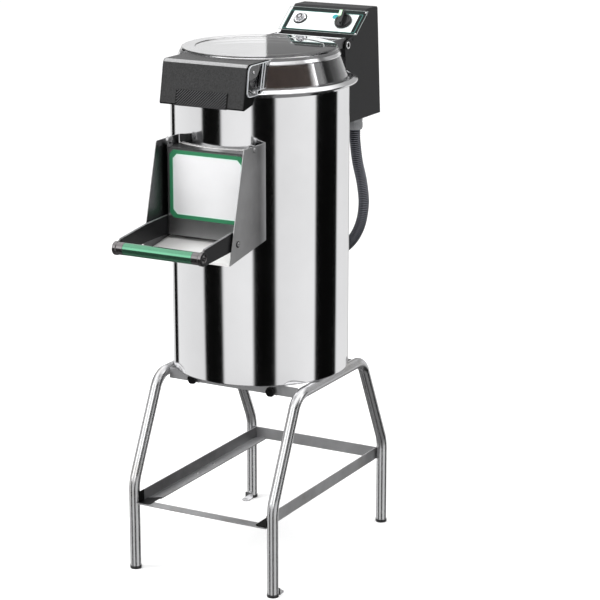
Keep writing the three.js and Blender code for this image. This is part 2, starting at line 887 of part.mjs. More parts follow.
function bearingHousing() {
  const top = floorLow - seatGap;
  const bore = shaftRadius + runningGap;
  const body = turnClosed([
    [bore, housingLow], [housingRadius, housingLow], [housingRadius, top - housingFlangeThickness],
    [housingFlangeRadius, top - housingFlangeThickness], [housingFlangeRadius, top], [bore, top],
  ], roundSides);
  const ribs = [];
  for (let i = 0; i < housingRibCount; i += 1) {
    const rib = extrudeBack([
      [housingRadius - housingRibThickness, housingLow + housingRibThickness],
      [housingRadius + housingRibThickness / 2, housingLow + housingRibThickness],
      [housingFlangeRadius - housingRibThickness, top - housingFlangeThickness / 2],
      [housingRadius - housingRibThickness, top - housingFlangeThickness / 2],
    ], -housingRibThickness / 2, housingRibThickness / 2);
    ribs.push(rib.rotateZ((i * 360) / housingRibCount * DEG));
  }
  return join(body, ...ribs);
}
add('bearing_housing', bearingHousing(), castMetal());

// Pulleys: the driven one has a rim, a web and a hub, and both have lips that keep the belt on
function pulleyRim(radius, low, bore) {
  const top = low + pulleyWidth;
  return turnClosed([
    [bore, low], [radius + pulleyLip, low], [radius, low + pulleyLip], [radius, top - pulleyLip],
    [radius + pulleyLip, top], [bore, top],
  ], pulleySides);
}
function drivenPulley() {
  const bore = shaftStubRadius + seatGap;
  const inner = drivenPulleyRadius - pulleyRimThickness;
  return cut(pulleyRim(drivenPulleyRadius, drivenLow, bore), turnClosed([
    [pulleyHubRadius, drivenLow - cutOverrun], [inner, drivenLow - cutOverrun],
    [inner, drivenTop - pulleyWebThickness], [pulleyHubRadius, drivenTop - pulleyWebThickness],
  ], pulleySides));
}
add('driven_pulley', drivenPulley(), castMetal());
const motorPulley = groupAt(0, motorOffset, 0);
add(
  'motor_pulley', pulleyRim(motorPulleyRadius, drivenLow, motorShaftRadius + seatGap), castMetal(), motorPulley,
);

// Flat belt round both pulleys
function beltOutline(grow) {
  const big = drivenPulleyRadius + beltGap + grow;
  const small = motorPulleyRadius + beltGap + grow;
  const lean = Math.acos((big - small) / motorOffset) / DEG;
  return [
    ...arcPoints(0, 0, big, 90 + lean, 450 - lean, pulleySides),
    ...arcPoints(0, motorOffset, small, 90 - lean, 90 + lean, roundSides / 2),
  ];
}
add('drive_belt', extrudeUp(
  beltOutline(beltThickness), drivenLow + pulleyLip + beltSideGap, drivenTop - pulleyLip - beltSideGap,
  [beltOutline(0)],
), rubber());

// Motor plate across the drum, and the finned motor hung under it
const plateTop = drivenLow - pulleyGap - pulleyLip;
const plateLow = plateTop - motorPlateThickness;
add('motor_plate', extrudeUp(
  circlePoints(linerOuter, drumSides), plateLow, plateTop,
  [
    circlePoints(motorPlateSlotRadius, roundSides, 0, motorOffset),
    circlePoints(motorPlateSlotRadius, roundSides),
  ],
), steel());
function motorBody() {
  const top = plateLow - seatGap;
  const low = top - motorLength;
  const fins = [];
  for (let i = 0; i < motorFinCount; i += 1) {
    const step = 360 / motorFinCount;
    for (const [share, radius] of [
      [0, motorRadius], [0.4, motorRadius],
      [0.5, motorRadius - motorFinDepth], [0.9, motorRadius - motorFinDepth],
    ]) {
      const angle = (i + share) * step * DEG;
      fins.push([radius * Math.cos(angle), radius * Math.sin(angle)]);
    }
  }
  const bell = (motorRadius - motorFinDepth) * 2 / 3;
  const cap = turn([
    [0, low - motorFinDepth * 2], [bell, low - motorFinDepth * 2],
    [motorRadius - motorFinDepth * 2, low + motorFinDepth], [0, low + motorFinDepth],
  ], roundSides);
  const collar = rod(motorPlateSlotRadius - runningGap, top - motorFinDepth, plateTop);
  const shaft = rod(motorShaftRadius, top, drivenTop);
  return join(extrudeUp(fins, low, top), cap, collar, shaft);
}
const motor = groupAt(0, motorOffset, 0);
add('motor', motorBody(), castMetal(), motor);

// Bent pipe out through the drum's wall and then down, with a saddle flange on the drum
function bentPipe(radius, wall, bend, reach, drop, sides, angle) {
  const bendStart = drumRadius + pipeFlangeThickness + reach;
  const line = [
    [drumInner, 0], ...arcPoints(bendStart, -bend, bend, 90, 0, bendSteps),
    [bendStart + bend, -bend - drop],
  ];
  const path = new StationPath(line.map(([y, z]) => new THREE.Vector3(0, y, z)));
  const pipe = new THREE.ExtrudeGeometry(
    shapeOf(circlePoints(radius, sides), [circlePoints(radius - wall, sides)]),
    { steps: line.length - 1, bevelEnabled: false, extrudePath: path },
  );
  const flange = cut(turnAlongY([
    [radius - wall / 2, drumRadius / 2], [radius + pipeFlange, drumRadius / 2],
    [radius + pipeFlange, drumRadius + pipeFlangeThickness],
    [radius - wall / 2, drumRadius + pipeFlangeThickness], [radius - wall / 2, drumRadius / 2],
  ], sides), turnedPlug(angle, radius + pipeFlange + cutOverrun));
  return join(pipe, flange);
}
const drainHolder = groupAt(0, 0, drainZ);
drainHolder.rotation.z = drainAngle * DEG;
add('drain_pipe', bentPipe(
  drainRadius, drainWall, drainBendRadius, drainReach, drainDrop, pipeSides, drainAngle,
), steel(), drainHolder);
const inletHolder = groupAt(0, 0, inletZ);
inletHolder.rotation.z = inletAngle * DEG;
add('water_inlet', bentPipe(
  inletRadius, inletWall, inletBendRadius, inletReach, inletDrop, pipeSides, inletAngle,
), steel(), inletHolder);

// Discharge collar between the drum's opening and the door
const collarFace = -(drumRadius + collarReach);
add('discharge_collar', cut(
  extrudeBack(
    boxOutline(
      -openingHalfWidth - collarWall, openingHalfWidth + collarWall, sillZ - collarWall, headZ + collarWall,
    ),
    collarFace, -drumRadius / 2,
    [boxOutline(-openingHalfWidth, openingHalfWidth, sillZ, headZ)],
  ),
  axisPlug(drumRadius + seatGap, sillZ - collarWall - cutOverrun, headZ + collarWall + cutOverrun),
), steel());

// Chute cheeks, each with its shouldered pivot pin and stop screw
const cheekInner = cheekHalfSpan - sheet;
const cheekBack = -drumFace(cheekInner) - seatGap;
const cheekDeep = -drumRadius / 2;
const cheekFrontTop = -(drumRadius + cheekTopReach);
const cheekFrontLow = -(drumRadius + cheekBottomReach);
const cheekTopZ = pivotZ + cheekRise;
const cheekLowZ = pivotZ - cheekDrop;
const cheekHeelZ = pivotZ - cheekHeelDrop;
function cheek() {
  const plate = cut(extrudeAcross([
    [cheekFrontLow, cheekLowZ], [cheekBack, cheekHeelZ], [cheekDeep, cheekHeelZ],
    [cheekDeep, cheekTopZ],
    ...filletCorner(
      [cheekDeep, cheekTopZ], [cheekFrontTop, cheekTopZ], [cheekFrontLow, cheekLowZ],
      cheekCorner, bendSteps / 2,
    ),
  ], cheekInner, cheekHalfSpan), axisPlug(drumRadius + seatGap, cheekLowZ, cheekTopZ));
  const pin = turnAlongX([
    [0, doorHalfWidth - sheet - pivotRadius], [pivotRadius, doorHalfWidth - sheet - pivotRadius],
    [pivotRadius, doorHalfWidth + seatGap], [bushRadius, doorHalfWidth + seatGap],
    [bushRadius, cheekInner + sheet / 2], [pivotHeadRadius, cheekInner + sheet / 2],
    [pivotHeadRadius, cheekHalfSpan + pivotHeadHeight / 2],
    [pivotHeadRadius - pivotHeadHeight / 2, cheekHalfSpan + pivotHeadHeight],
    [0, cheekHalfSpan + pivotHeadHeight],
  ], roundSides).translate(0, pivotY, pivotZ);
  const stop = turnAlongX([
    [0, cheekInner], [stopRadius, cheekInner], [stopRadius, cheekHalfSpan + stopHead / 2],
    [stopRadius - stopHead / 2, cheekHalfSpan + stopHead], [0, cheekHalfSpan + stopHead],
  ], roundSides / 2).translate(0, -(drumRadius + stopReach), pivotZ - stopDrop);
  return join(plate, pin, stop);
}
add('chute_cheek_right', cheek(), steel());
add('chute_cheek_left', geometryOf(solidOf(cheek()).mirror([1, 0, 0])), steel());

// Chute floor, sloping to the front between the cheeks, with a turned-down lip
const floorSlope = (cheekHeelZ - cheekLowZ) / (cheekBack - cheekFrontLow);
const chuteZ = (y) => cheekLowZ + (y - cheekFrontLow) * floorSlope;
const chuteFront = cheekFrontLow + sheet;
const chuteHalf = cheekInner - seatGap;
add('chute_floor', cut(
  extrudeAcross([
    [chuteFront, chuteZ(chuteFront) - chuteLip + sheet],
    [chuteFront + sheet, chuteZ(chuteFront) - chuteLip + sheet],
    [chuteFront + sheet, chuteZ(chuteFront + sheet) + sheet],
    [-drumRadius / 2, chuteZ(-drumRadius / 2) + sheet],
    [-drumRadius / 2, chuteZ(-drumRadius / 2) + sheet * 2], [chuteFront, chuteZ(chuteFront) + sheet * 2],
  ], -chuteHalf, chuteHalf),
  axisPlug(drumRadius + seatGap, cheekLowZ - cutOverrun, cheekTopZ),
), steel());

// Door: front plate, side flanges with pivot ears, and a top flange cut to the drum's curve
const doorFace = -(drumRadius + doorReach);
const doorTopZ = pivotZ - doorTopDrop;
const doorLowZ = pivotZ - doorDrop;
function dischargeDoor() {
  const plate = span(-doorHalfWidth, doorHalfWidth, doorFace, doorFace + sheet, doorLowZ, doorTopZ);
  const flange = cut(
    span(-doorHalfWidth, doorHalfWidth, doorFace, -drumFace(doorHalfWidth), doorTopZ - sheet, doorTopZ),
    axisPlug(drumRadius + doorFlangeGap, doorTopZ - sheet - cutOverrun, doorTopZ + cutOverrun),
  );
  const earBack = doorFace + doorSideDepth;
  const side = extrudeAcross([
    [doorFace, doorLowZ], [earBack, doorLowZ + doorSideDepth], [earBack, doorTopZ - doorEarRadius],
    ...arcPoints(pivotY, pivotZ, doorEarRadius, -20, 180, roundSides / 2),
    [doorFace, doorTopZ - doorEarRadius],
  ], doorHalfWidth - sheet, doorHalfWidth, [
    circlePoints(pivotRadius + runningGap, roundSides, pivotY, pivotZ),
  ]);
  const other = geometryOf(solidOf(side).mirror([1, 0, 0]));
  return join(plate, flange, side, other);
}
add('discharge_door', dischargeDoor(), steel());

// Gasket on the back of the door, against the collar
const gasketFront = doorFace + sheet + seatGap;
add('door_gasket', extrudeBack(
  boxOutline(
    -openingHalfWidth - collarWall, openingHalfWidth + collarWall, sillZ - collarWall, headZ + collarWall,
  ),
  gasketFront, collarFace - seatGap,
  [boxOutline(
    gasketWidth - openingHalfWidth - collarWall, openingHalfWidth + collarWall - gasketWidth,
    sillZ + gasketWidth - collarWall, headZ - gasketWidth + collarWall,
  )],
), rubber());

// Door label: a green frame round a plain white field, both with cut corners
const labelTop = pivotZ - labelTopDrop;
const labelLow = pivotZ - labelBottomDrop;
const labelBack = doorFace - seatGap;
const fieldOutline = (grow) => chamferedOutline(
  labelBorder - labelHalfWidth - grow, labelHalfWidth - labelBorder + grow,
  labelLow + labelBorder - grow, labelTop - labelBorder + grow, labelChamfer,
);
add('door_label_frame', extrudeBack(
  chamferedOutline(-labelHalfWidth, labelHalfWidth, labelLow, labelTop, labelChamfer),
  labelBack - labelThickness, labelBack, [fieldOutline(0)],
), material(0x1d7445, 0.4, 0));
add('door_label_field', extrudeBack(
  fieldOutline(-seatGap), labelBack - labelThickness, labelBack,
), material(0xeeeeee, 0.4, 0));

// Arms bolted to the door's sides; each ends in the black cap that carries the handle tube
const handleY = pivotY - handleReach;
const handleZ = pivotZ - handleDrop;
const armTop = pivotZ - armTopDrop;
const armLow = pivotZ - armBottomDrop;
function doorArm() {
  const back = doorFace + armBackDepth;
  const capRadius = handleRadius + handleWall;
  const midY = doorFace + (handleY - doorFace) * armMidShare;
  const armX0 = doorHalfWidth + seatGap;
  const plate = extrudeAcross([
    [back, armLow], [back, armTop], [midY, armTop - (armTop - handleZ) * armMidTopShare],
    [handleY + capRadius / 2, armTop - (armTop - handleZ) * armEndTopShare],
    ...arcPoints(handleY, handleZ, capRadius, 75, 285, roundSides / 2),
    [handleY + capRadius, handleZ - capRadius], [midY, armLow],
  ], armX0, armX0 + armThickness);
  const cap = turnAlongX([
    [0, handleHalfGrip - handleSpigot],
    [handleRadius - handleWall - seatGap, handleHalfGrip - handleSpigot],
    [handleRadius - handleWall - seatGap, handleHalfGrip + seatGap],
    [handleRadius, handleHalfGrip + seatGap], [handleRadius, cheekInner],
    [handleRadius - armScrewRadius / 2, cheekHalfSpan], [armScrewRadius, cheekHalfSpan],
    [armScrewRadius, cheekInner], [0, cheekInner],
  ], roundSides).translate(0, handleY, handleZ);
  return join(plate, cap);
}
add('door_arm_right', doorArm(), blackPlastic());
add('door_arm_left', geometryOf(solidOf(doorArm()).mirror([1, 0, 0])), blackPlastic());
add('door_handle', turnAlongX([
  [handleRadius - handleWall, -handleHalfGrip], [handleRadius, -handleHalfGrip],
  [handleRadius, handleHalfGrip], [handleRadius - handleWall, handleHalfGrip],
  [handleRadius - handleWall, -handleHalfGrip],
], roundSides), material(0x17693f, 0.15, 0.3)).position.set(0, handleY, handleZ);

// Clear lid: flat disc, inner ring, banded cone, foot flange, and a hood wall at each side
const bandZ = lidTop - lidBandHeight;
const coneRadius = (z) => lidDiscRadius + (lidFootRadius - lidDiscRadius)
  * (lidTop - lidEdgeRadius - z) / (lidTop - lidEdgeRadius - lidFoot - lidWall);
const discEdge = arcPoints(
  lidDiscRadius - lidEdgeRadius, lidTop - lidEdgeRadius, lidEdgeRadius, 90, 0, bendSteps / 2,
);
const lidOutside = [
  [0, lidTop - lidInnerStep], [lidInnerRadius, lidTop - lidInnerStep],
  [lidInnerRadius + lidInnerStep, lidTop], ...discEdge,
  [lidFootRadius, lidFoot + lidWall], [lidFootRadius + lidFootFlange, lidFoot + lidWall],
  [lidFootRadius + lidFootFlange, lidFoot],
];
const lidInside = [
  [lidFootRadius - lidWall, lidFoot], [coneRadius(bandZ) - lidWall, bandZ],
  [coneRadius(bandZ) - lidWall - lidBandThickness, bandZ],
  [lidDiscRadius - lidWall - lidBandThickness, lidTop - lidWall - lidInnerStep],
  [0, lidTop - lidWall - lidInnerStep],
];
const lidCavity = turn([
  [0, lidFoot - cutOverrun], [lidFootRadius - lidWall, lidFoot - cutOverrun], ...lidInside,
], lidSides);
function hoodWallOutline() {
  const front = -(drumRadius + grabFaceReach - grabThickness / 2);
  const low = -(drumRadius + grabBottomReach - grabShoulder - grabThickness);
  const top = lidTop - hoodTopDrop;
  const dip = lidFoot - hoodDip;
  const rimClear = -Math.sqrt((drumRadius + rimOverhang + seatGap + runningGap) ** 2 - hoodHalfWidth ** 2);
  const deck = lidFoot + hoodBackRise - seatGap;
  return [
    [low, dip], [rimClear - hoodWall, dip], [rimClear - hoodWall, deck], [-lidDiscRadius / 2, deck],
    [-lidDiscRadius / 2, top],
    ...filletCorner([0, top], [front, top], [low, dip], hoodCorner, bendSteps / 2),
  ];
}
const hoodOutline = hoodWallOutline();
const hoodRight = extrudeAcross(hoodOutline, hoodHalfWidth, hoodHalfWidth + hoodWall);
const hoodLeft = extrudeAcross(hoodOutline, -hoodHalfWidth - hoodWall, -hoodHalfWidth);
add('lid', cut(
  join(turn([...lidOutside, ...lidInside].reverse(), lidSides), hoodRight, hoodLeft), lidCavity,
), clear());

// Lid handle: a folded black plate that follows the disc, with closed ends and a finger lip
const grabTop = lidTop - grabTopDrop;
const grabFold = -(drumRadius + grabTopReach);
const grabFace = -(drumRadius + grabFaceReach);
const grabLowY = -(drumRadius + grabBottomReach);
const grabLowZ = drumTop - grabBottomDrop;
function lidHandle() {
  const half = hoodHalfWidth - seatGap;
  const top = filletCorner([0, grabTop], [grabFace, grabTop], [grabLowY, grabLowZ], grabShoulder, bendSteps / 2);
  const inner = filletCorner(
    [0, grabTop - grabThickness], [grabFace + grabThickness, grabTop - grabThickness],
    [grabLowY + grabThickness, grabLowZ + grabThickness], grabShoulder - grabThickness, bendSteps / 2,
  );
  const lipY = -(drumRadius + grabLipReach);
  const lipZ = grabLowZ + (grabHeelRise * (lipY - grabLowY)) / (grabBottomReach - grabHeelReach);
  const plate = extrudeAcross([
    [-lidDiscRadius / 2, grabTop], ...top, [grabLowY, grabLowZ], [lipY, lipZ], [lipY, lipZ + grabThickness],
    [grabLowY + grabThickness, grabLowZ + grabThickness], ...inner.reverse(),
    [-lidDiscRadius / 2, grabTop - grabThickness],
  ], -half, half);
  const heel = -(drumRadius + grabHeelReach);
  const brow = lidFoot - hoodDip - seatGap;
  const end = extrudeAcross([
    ...top, [grabLowY, grabLowZ], [heel, grabLowZ + grabHeelRise], [heel + grabShoulder, brow],
    [heel + grabShoulder, grabTop - grabThickness / 2], [grabFold, grabTop],
  ], half - grabSideThickness, half);
  const otherEnd = geometryOf(solidOf(end).mirror([1, 0, 0]));
  return cut(
    join(plate, end, otherEnd),
    axisPlug(
      coneRadius(grabTop - grabThickness) + runningGap,
      grabTop - grabThickness - cutOverrun, grabTop + cutOverrun, lidSides,
    ),
    axisPlug(drumRadius + rimOverhang + cutOverrun / 2, rimLow - cutOverrun, lidFoot + seatGap),
  );
}
add('lid_handle', lidHandle(), blackCoat());

// Grip pad with slanting ribs, on the leaning face of the handle
const faceLean = Math.atan2(grabBottomReach - grabFaceReach, grabTop - grabLowZ);
const padHolder = groupAt(0, grabLowY, grabLowZ);
padHolder.rotation.x = -faceLean;
function gripPad() {
  const base = span(-padHalfWidth, padHalfWidth, -seatGap - padThickness, -seatGap, padThickness, padHeight);
  const pitch = (padHalfWidth * 2) / padRibCount;
  const ribs = [];
  for (let i = -1; i <= padRibCount; i += 1) {
    const x = (i + 0.5) * pitch - padHalfWidth;
    const shift = (padHeight - padThickness) * Math.tan(padRibLean * DEG) / 2;
    ribs.push(extrudeBack([
      [x - shift - padRibWidth / 2, padThickness], [x - shift + padRibWidth / 2, padThickness],
      [x + shift + padRibWidth / 2, padHeight], [x + shift - padRibWidth / 2, padHeight],
    ], -seatGap - padThickness - padRibDepth, -seatGap - padThickness / 2));
  }
  const frame = span(
    -padHalfWidth, padHalfWidth, -seatGap - padThickness - padRibDepth - cutOverrun, 0, padThickness, padHeight,
  );
  return join(base, common(join(ribs[0], ...ribs.slice(1)), frame));
}
add('lid_grip_pad', gripPad(), material(0x2c2c2e, 0.8, 0.05), padHolder);

// Hinge bracket: two straps from the lid's cone to the pin, and a cross plate between them
function hingeBracket() {
  const inner = strapHalfSpan - strapThickness;
  const eyes = arcPoints(hingeY, hingeZ, hingeEyeRadius, -90, 60, roundSides / 2);
  const strapTop = hingeZ + strapRise;
  const strap = extrudeAcross([
    [hingeY - strapFoot, hingeZ - strapFall], [hingeY - hingeEyeRadius * 2, hingeZ - strapFall], ...eyes,
    [hingeY - hingeEyeRadius / 2, strapTop], [hingeY - strapFoot, strapTop],
  ], inner, strapHalfSpan, [circlePoints(hingePinRadius + seatGap, roundSides, hingeY, hingeZ)]);
  const other = geometryOf(solidOf(strap).mirror([1, 0, 0]));
  const crossY = hingeY - crossSetback;
  const cross = extrudeBack([
    [-strapHalfSpan + strapThickness / 2, hingeZ - crossFall + crossChamferHeight],
    [-strapHalfSpan + crossChamferWidth, hingeZ - crossFall],
    [strapHalfSpan - crossChamferWidth, hingeZ - crossFall],
    [strapHalfSpan - strapThickness / 2, hingeZ - crossFall + crossChamferHeight],
    [strapHalfSpan - strapThickness / 2, strapTop], [strapThickness / 2 - strapHalfSpan, strapTop],
  ], crossY - strapThickness, crossY);
  const bolt = turnAlongY([
    [0, crossY - strapThickness - hingeBoltHeight],
    [hingeBoltRadius * 2 / 3, crossY - strapThickness - hingeBoltHeight],
    [hingeBoltRadius, crossY - strapThickness - hingeBoltHeight / 2],
    [hingeBoltRadius, crossY - strapThickness / 2], [0, crossY - strapThickness / 2],
  ], roundSides / 2).translate(0, 0, hingeZ + crossFall);
  const coneTool = turn([
    [0, lidFoot], [coneRadius(lidFoot) + seatGap, lidFoot],
    [coneRadius(strapTop + cutOverrun) + seatGap, strapTop + cutOverrun],
    [0, strapTop + cutOverrun],
  ], lidSides);
  return cut(join(strap, other, cross, bolt), coneTool);
}
add('lid_hinge_bracket', hingeBracket(), brightSteel());

// Black seal strip under the cross plate
const sealY = hingeY - crossSetback;
add('lid_hinge_seal', extrudeBack([
  [crossChamferWidth - strapHalfSpan, hingeZ - crossFall - seatGap],
  [crossChamferWidth - strapHalfSpan, hingeZ - crossFall - seatGap - sealWidth],
  [strapHalfSpan - crossChamferWidth, hingeZ - crossFall - seatGap - sealWidth],
  [strapHalfSpan - crossChamferWidth, hingeZ - crossFall - seatGap],
], sealY - sealThickness, sealY), rubber());

// Hinge pin through the box's ears
add('lid_hinge_pin', turnAlongX([
  [0, -boxHalfWidth], [hingePinBore, -boxHalfWidth], [hingePinBore, -boxHalfWidth - hingePinEnd],
  [hingePinRadius, -boxHalfWidth - hingePinEnd], [hingePinRadius, boxHalfWidth + hingePinEnd],
  [hingePinBore, boxHalfWidth + hingePinEnd], [hingePinBore, boxHalfWidth], [0, boxHalfWidth],
], roundSides), brightSteel()).position.set(0, hingeY, hingeZ);

// Control box: folded sheet with a sloping panel, a recess for the hinge and an open back
const boxFront = drumRadius + boxFrontReach;
const boxLow = drumTop - boxBottomDrop;
const boxTop = drumTop + boxTopRise;
const topFront = [drumRadius + boxTopFront, boxTop];
const topBack = [drumRadius + boxTopBack, boxTop];
const lowBack = [drumRadius + boxBottomBack, boxLow];
const panelLow = [drumRadius + panelLowReach, drumTop + panelLowRise];
const recessBack = boxFront + recessDepth;
const recessZ = drumTop + recessRise;
const boxOutside = [
  [boxFront, boxLow], lowBack,
  ...filletCorner(lowBack, topBack, topFront, boxBackCorner, bendSteps / 2), topFront, panelLow,
  [panelLow[0], panelLow[1] - panelLip], [recessBack, panelLow[1] - panelLip], [recessBack, recessZ],
  [boxFront, recessZ],
];
const panelRun = Math.hypot(topFront[0] - panelLow[0], topFront[1] - panelLow[1]);
const panelTilt = Math.atan2(topFront[1] - panelLow[1], topFront[0] - panelLow[0]);
function boxShell() {
  const backAt = (z) => lowBack[0] + (topBack[0] - lowBack[0]) * (z - boxLow) / (boxTop - boxLow);
  const skin = sheet / Math.sin(panelTilt);
  const hollow = extrudeAcross([
    [boxFront + sheet, boxLow + sheet], [backAt(boxLow + sheet) + cutOverrun, boxLow + sheet],
    [backAt(boxTop - sheet) + cutOverrun, boxTop - sheet],
    [topFront[0] + sheet / 2, boxTop - sheet], [panelLow[0] + skin, panelLow[1]],
    [panelLow[0] + skin, panelLow[1] - panelLip + sheet], [recessBack + sheet, panelLow[1] - panelLip + sheet],
    [recessBack + sheet, recessZ - sheet], [boxFront + sheet, recessZ - sheet],
  ], sheet - boxHalfWidth, boxHalfWidth - sheet);
  const earOutline = [
    [boxFront, recessZ - sheet], [recessBack + sheet / 2, recessZ - sheet],
    [recessBack + sheet / 2, panelLow[1] - panelLip + sheet], [panelLow[0], panelLow[1] - sheet],
    ...filletCorner(
      [panelLow[0], panelLow[1] - sheet], [boxFront, drumTop + earTopRise], [boxFront, recessZ],
      earCorner, bendSteps / 2,
    ),
  ];
  const holes = [circlePoints(hingePinRadius + seatGap, roundSides, hingeY, hingeZ)];
  const earRight = extrudeAcross(earOutline, boxHalfWidth - sheet, boxHalfWidth, holes);
  const earLeft = extrudeAcross(earOutline, -boxHalfWidth, sheet - boxHalfWidth, holes);
  const gland = rod(conduitBore, boxLow - cutOverrun, boxLow + cutOverrun)
    .translate(0, conduitOutlet, 0).rotateZ(-conduitAngle * DEG);
  const shell = cut(extrudeAcross(boxOutside, -boxHalfWidth, boxHalfWidth), hollow, gland);
  return join(shell, earRight, earLeft);
}

// Places on the sloping panel: X across, Y up the slope to its top edge, Z out of it
const panelPose = new THREE.Matrix4().makeRotationX(panelTilt);
panelPose.setPosition(0, topFront[0], topFront[1]);
const panel = groupAt(0, topFront[0], topFront[1]);
panel.rotation.x = panelTilt;
const onPanel = (geometry) => geometry.applyMatrix4(panelPose);
const buttonSpot = [-buttonOffset, -buttonPlace];
const dialSpot = [dialOffset, -dialPlace];
add('box_shell', cut(
  boxShell(),
  onPanel(rod(buttonRadius + runningGap, -sheet * 2, cutOverrun).translate(...buttonSpot, 0)),
  onPanel(rod(dialShaftRadius * 2, -sheet * 2, cutOverrun).translate(...dialSpot, 0)),
), blackCoat());

// Back cover, let into the open back
function backCover() {
  const inset = sheet + seatGap;
  const backAt = (z) => lowBack[0] + (topBack[0] - lowBack[0]) * (z - boxLow) / (boxTop - boxLow);
  const low = boxLow + inset;
  const high = boxTop - sheet - boxBackCorner;
  return extrudeAcross([
    [backAt(low) - sheet * 2, low], [backAt(low) - sheet, low],
    [backAt(high) - sheet, high], [backAt(high) - sheet * 2, high],
  ], inset - boxHalfWidth, boxHalfWidth - inset);
}
add('box_back_cover', backCover(), blackCoat());

// Bracket between the drum's back and the box
add('box_bracket', cut(
  extrudeUp(
    boxOutline(-bracketHalfWidth, bracketHalfWidth, drumRadius / 2, boxFront - seatGap),
    drumTop - bracketLow, drumTop - bracketHigh,
  ),
  span(
    bracketWebs - bracketHalfWidth, bracketHalfWidth - bracketWebs, 0, boxFront - bracketWebs,
    drumTop - bracketLow - cutOverrun, drumTop - bracketHigh + cutOverrun,
  ),
  axisPlug(drumRadius + seatGap, drumTop - bracketLow - cutOverrun, drumTop - bracketHigh + cutOverrun),
), steel());

// Panel frame and its plain white field, with holes for the button and the dial
const frameHalf = boxHalfWidth - panelSideMargin;
const fieldHalf = frameHalf - panelFrameSide;
const frameHigh = -panelMarginTop;
const frameEnd = panelEndMargin - panelRun;
const fieldHigh = frameHigh - panelFrameTop;
const fieldEnd = frameEnd + panelFrameBottom;
add('panel_frame', extrudeUp(
  boxOutline(-frameHalf, frameHalf, frameEnd, frameHigh), seatGap, seatGap + panelPlate,
  [boxOutline(-fieldHalf, fieldHalf, fieldEnd, fieldHigh)],
), material(0x12352a, 0.5, 0.05), panel);
add('panel_field', extrudeUp(
  boxOutline(seatGap - fieldHalf, fieldHalf - seatGap, fieldEnd + seatGap, fieldHigh - seatGap),
  seatGap, seatGap + panelPlate,
  [
    circlePoints(buttonRadius + runningGap, roundSides, ...buttonSpot),
    circlePoints(dialShaftRadius + runningGap, roundSides, ...dialSpot),
  ],
), material(0xe9efec, 0.4, 0), panel);

// Start button in its bright bezel
const panelFace = seatGap + panelPlate + seatGap;
const bezel = add('button_bezel', turnClosed([
  [buttonRadius + seatGap, panelFace], [bezelRadius, panelFace], [bezelRadius, panelFace + bezelHeight / 2],
  [bezelRadius - bezelLip / 2, panelFace + bezelHeight], [buttonRadius + seatGap, panelFace + bezelHeight],
], roundSides), brightSteel(), panel);
bezel.position.set(...buttonSpot, 0);
const button = add('start_button', turn([
  [0, -buttonStem], [buttonRadius * 2 / 3, -buttonStem],
  [buttonRadius * 2 / 3, -sheet * 2 - buttonTravel], [buttonRadius, -sheet * 2 - buttonTravel],
  [buttonRadius, panelFace + bezelHeight + buttonProud - buttonDish],
  [buttonRadius - buttonDish, panelFace + bezelHeight + buttonProud],
  [buttonRadius / 2, panelFace + bezelHeight + buttonProud - buttonDish / 2],
  [0, panelFace + bezelHeight + buttonProud - buttonDish],
], roundSides), material(0xb9bcc0, 0.3, 0.7), panel);
button.position.set(...buttonSpot, 0);

// Timer dial: a bevelled disc with a raised pointer bar, on its shaft
function timerDial() {
  const low = panelFace;
  const skirt = turn([
    [0, low], [dialRadius, low], [dialRadius, low + dialHeight - dialEdge],
    [dialRadius - dialEdge, low + dialHeight], [0, low + dialHeight],
  ], roundSides * 2);
  const half = pointerWidth / 2;
  const bar = extrudeUp([
    ...arcPoints(0, dialRadius - half + pointerOverhang, half, 0, 180, bendSteps),
    ...arcPoints(0, half - dialRadius + dialEdge, half, 180, 360, bendSteps),
  ], low + dialHeight - dialEdge, low + dialHeight + pointerHeight);
  const shaft = rod(dialShaftRadius, -timerPost - sheet * 2, low + dialEdge, roundSides / 2);
  return join(skirt, bar.rotateZ(pointerLean * DEG), shaft);
}
add('timer_dial', timerDial(), blackPlastic(), panel).position.set(...dialSpot, 0);

// Timer behind the panel
const timerTop = -sheet * 2 - timerPost / 2;
add('timer_body', cut(
  span(-timerSize / 2, timerSize / 2, -timerSize / 2, timerSize / 2, timerTop - timerDepth, timerTop),
  rod(dialShaftRadius + runningGap, timerTop - timerPost * 2, timerTop + cutOverrun),
), material(0x2e3136, 0.6, 0.1), panel).position.set(...dialSpot, 0);

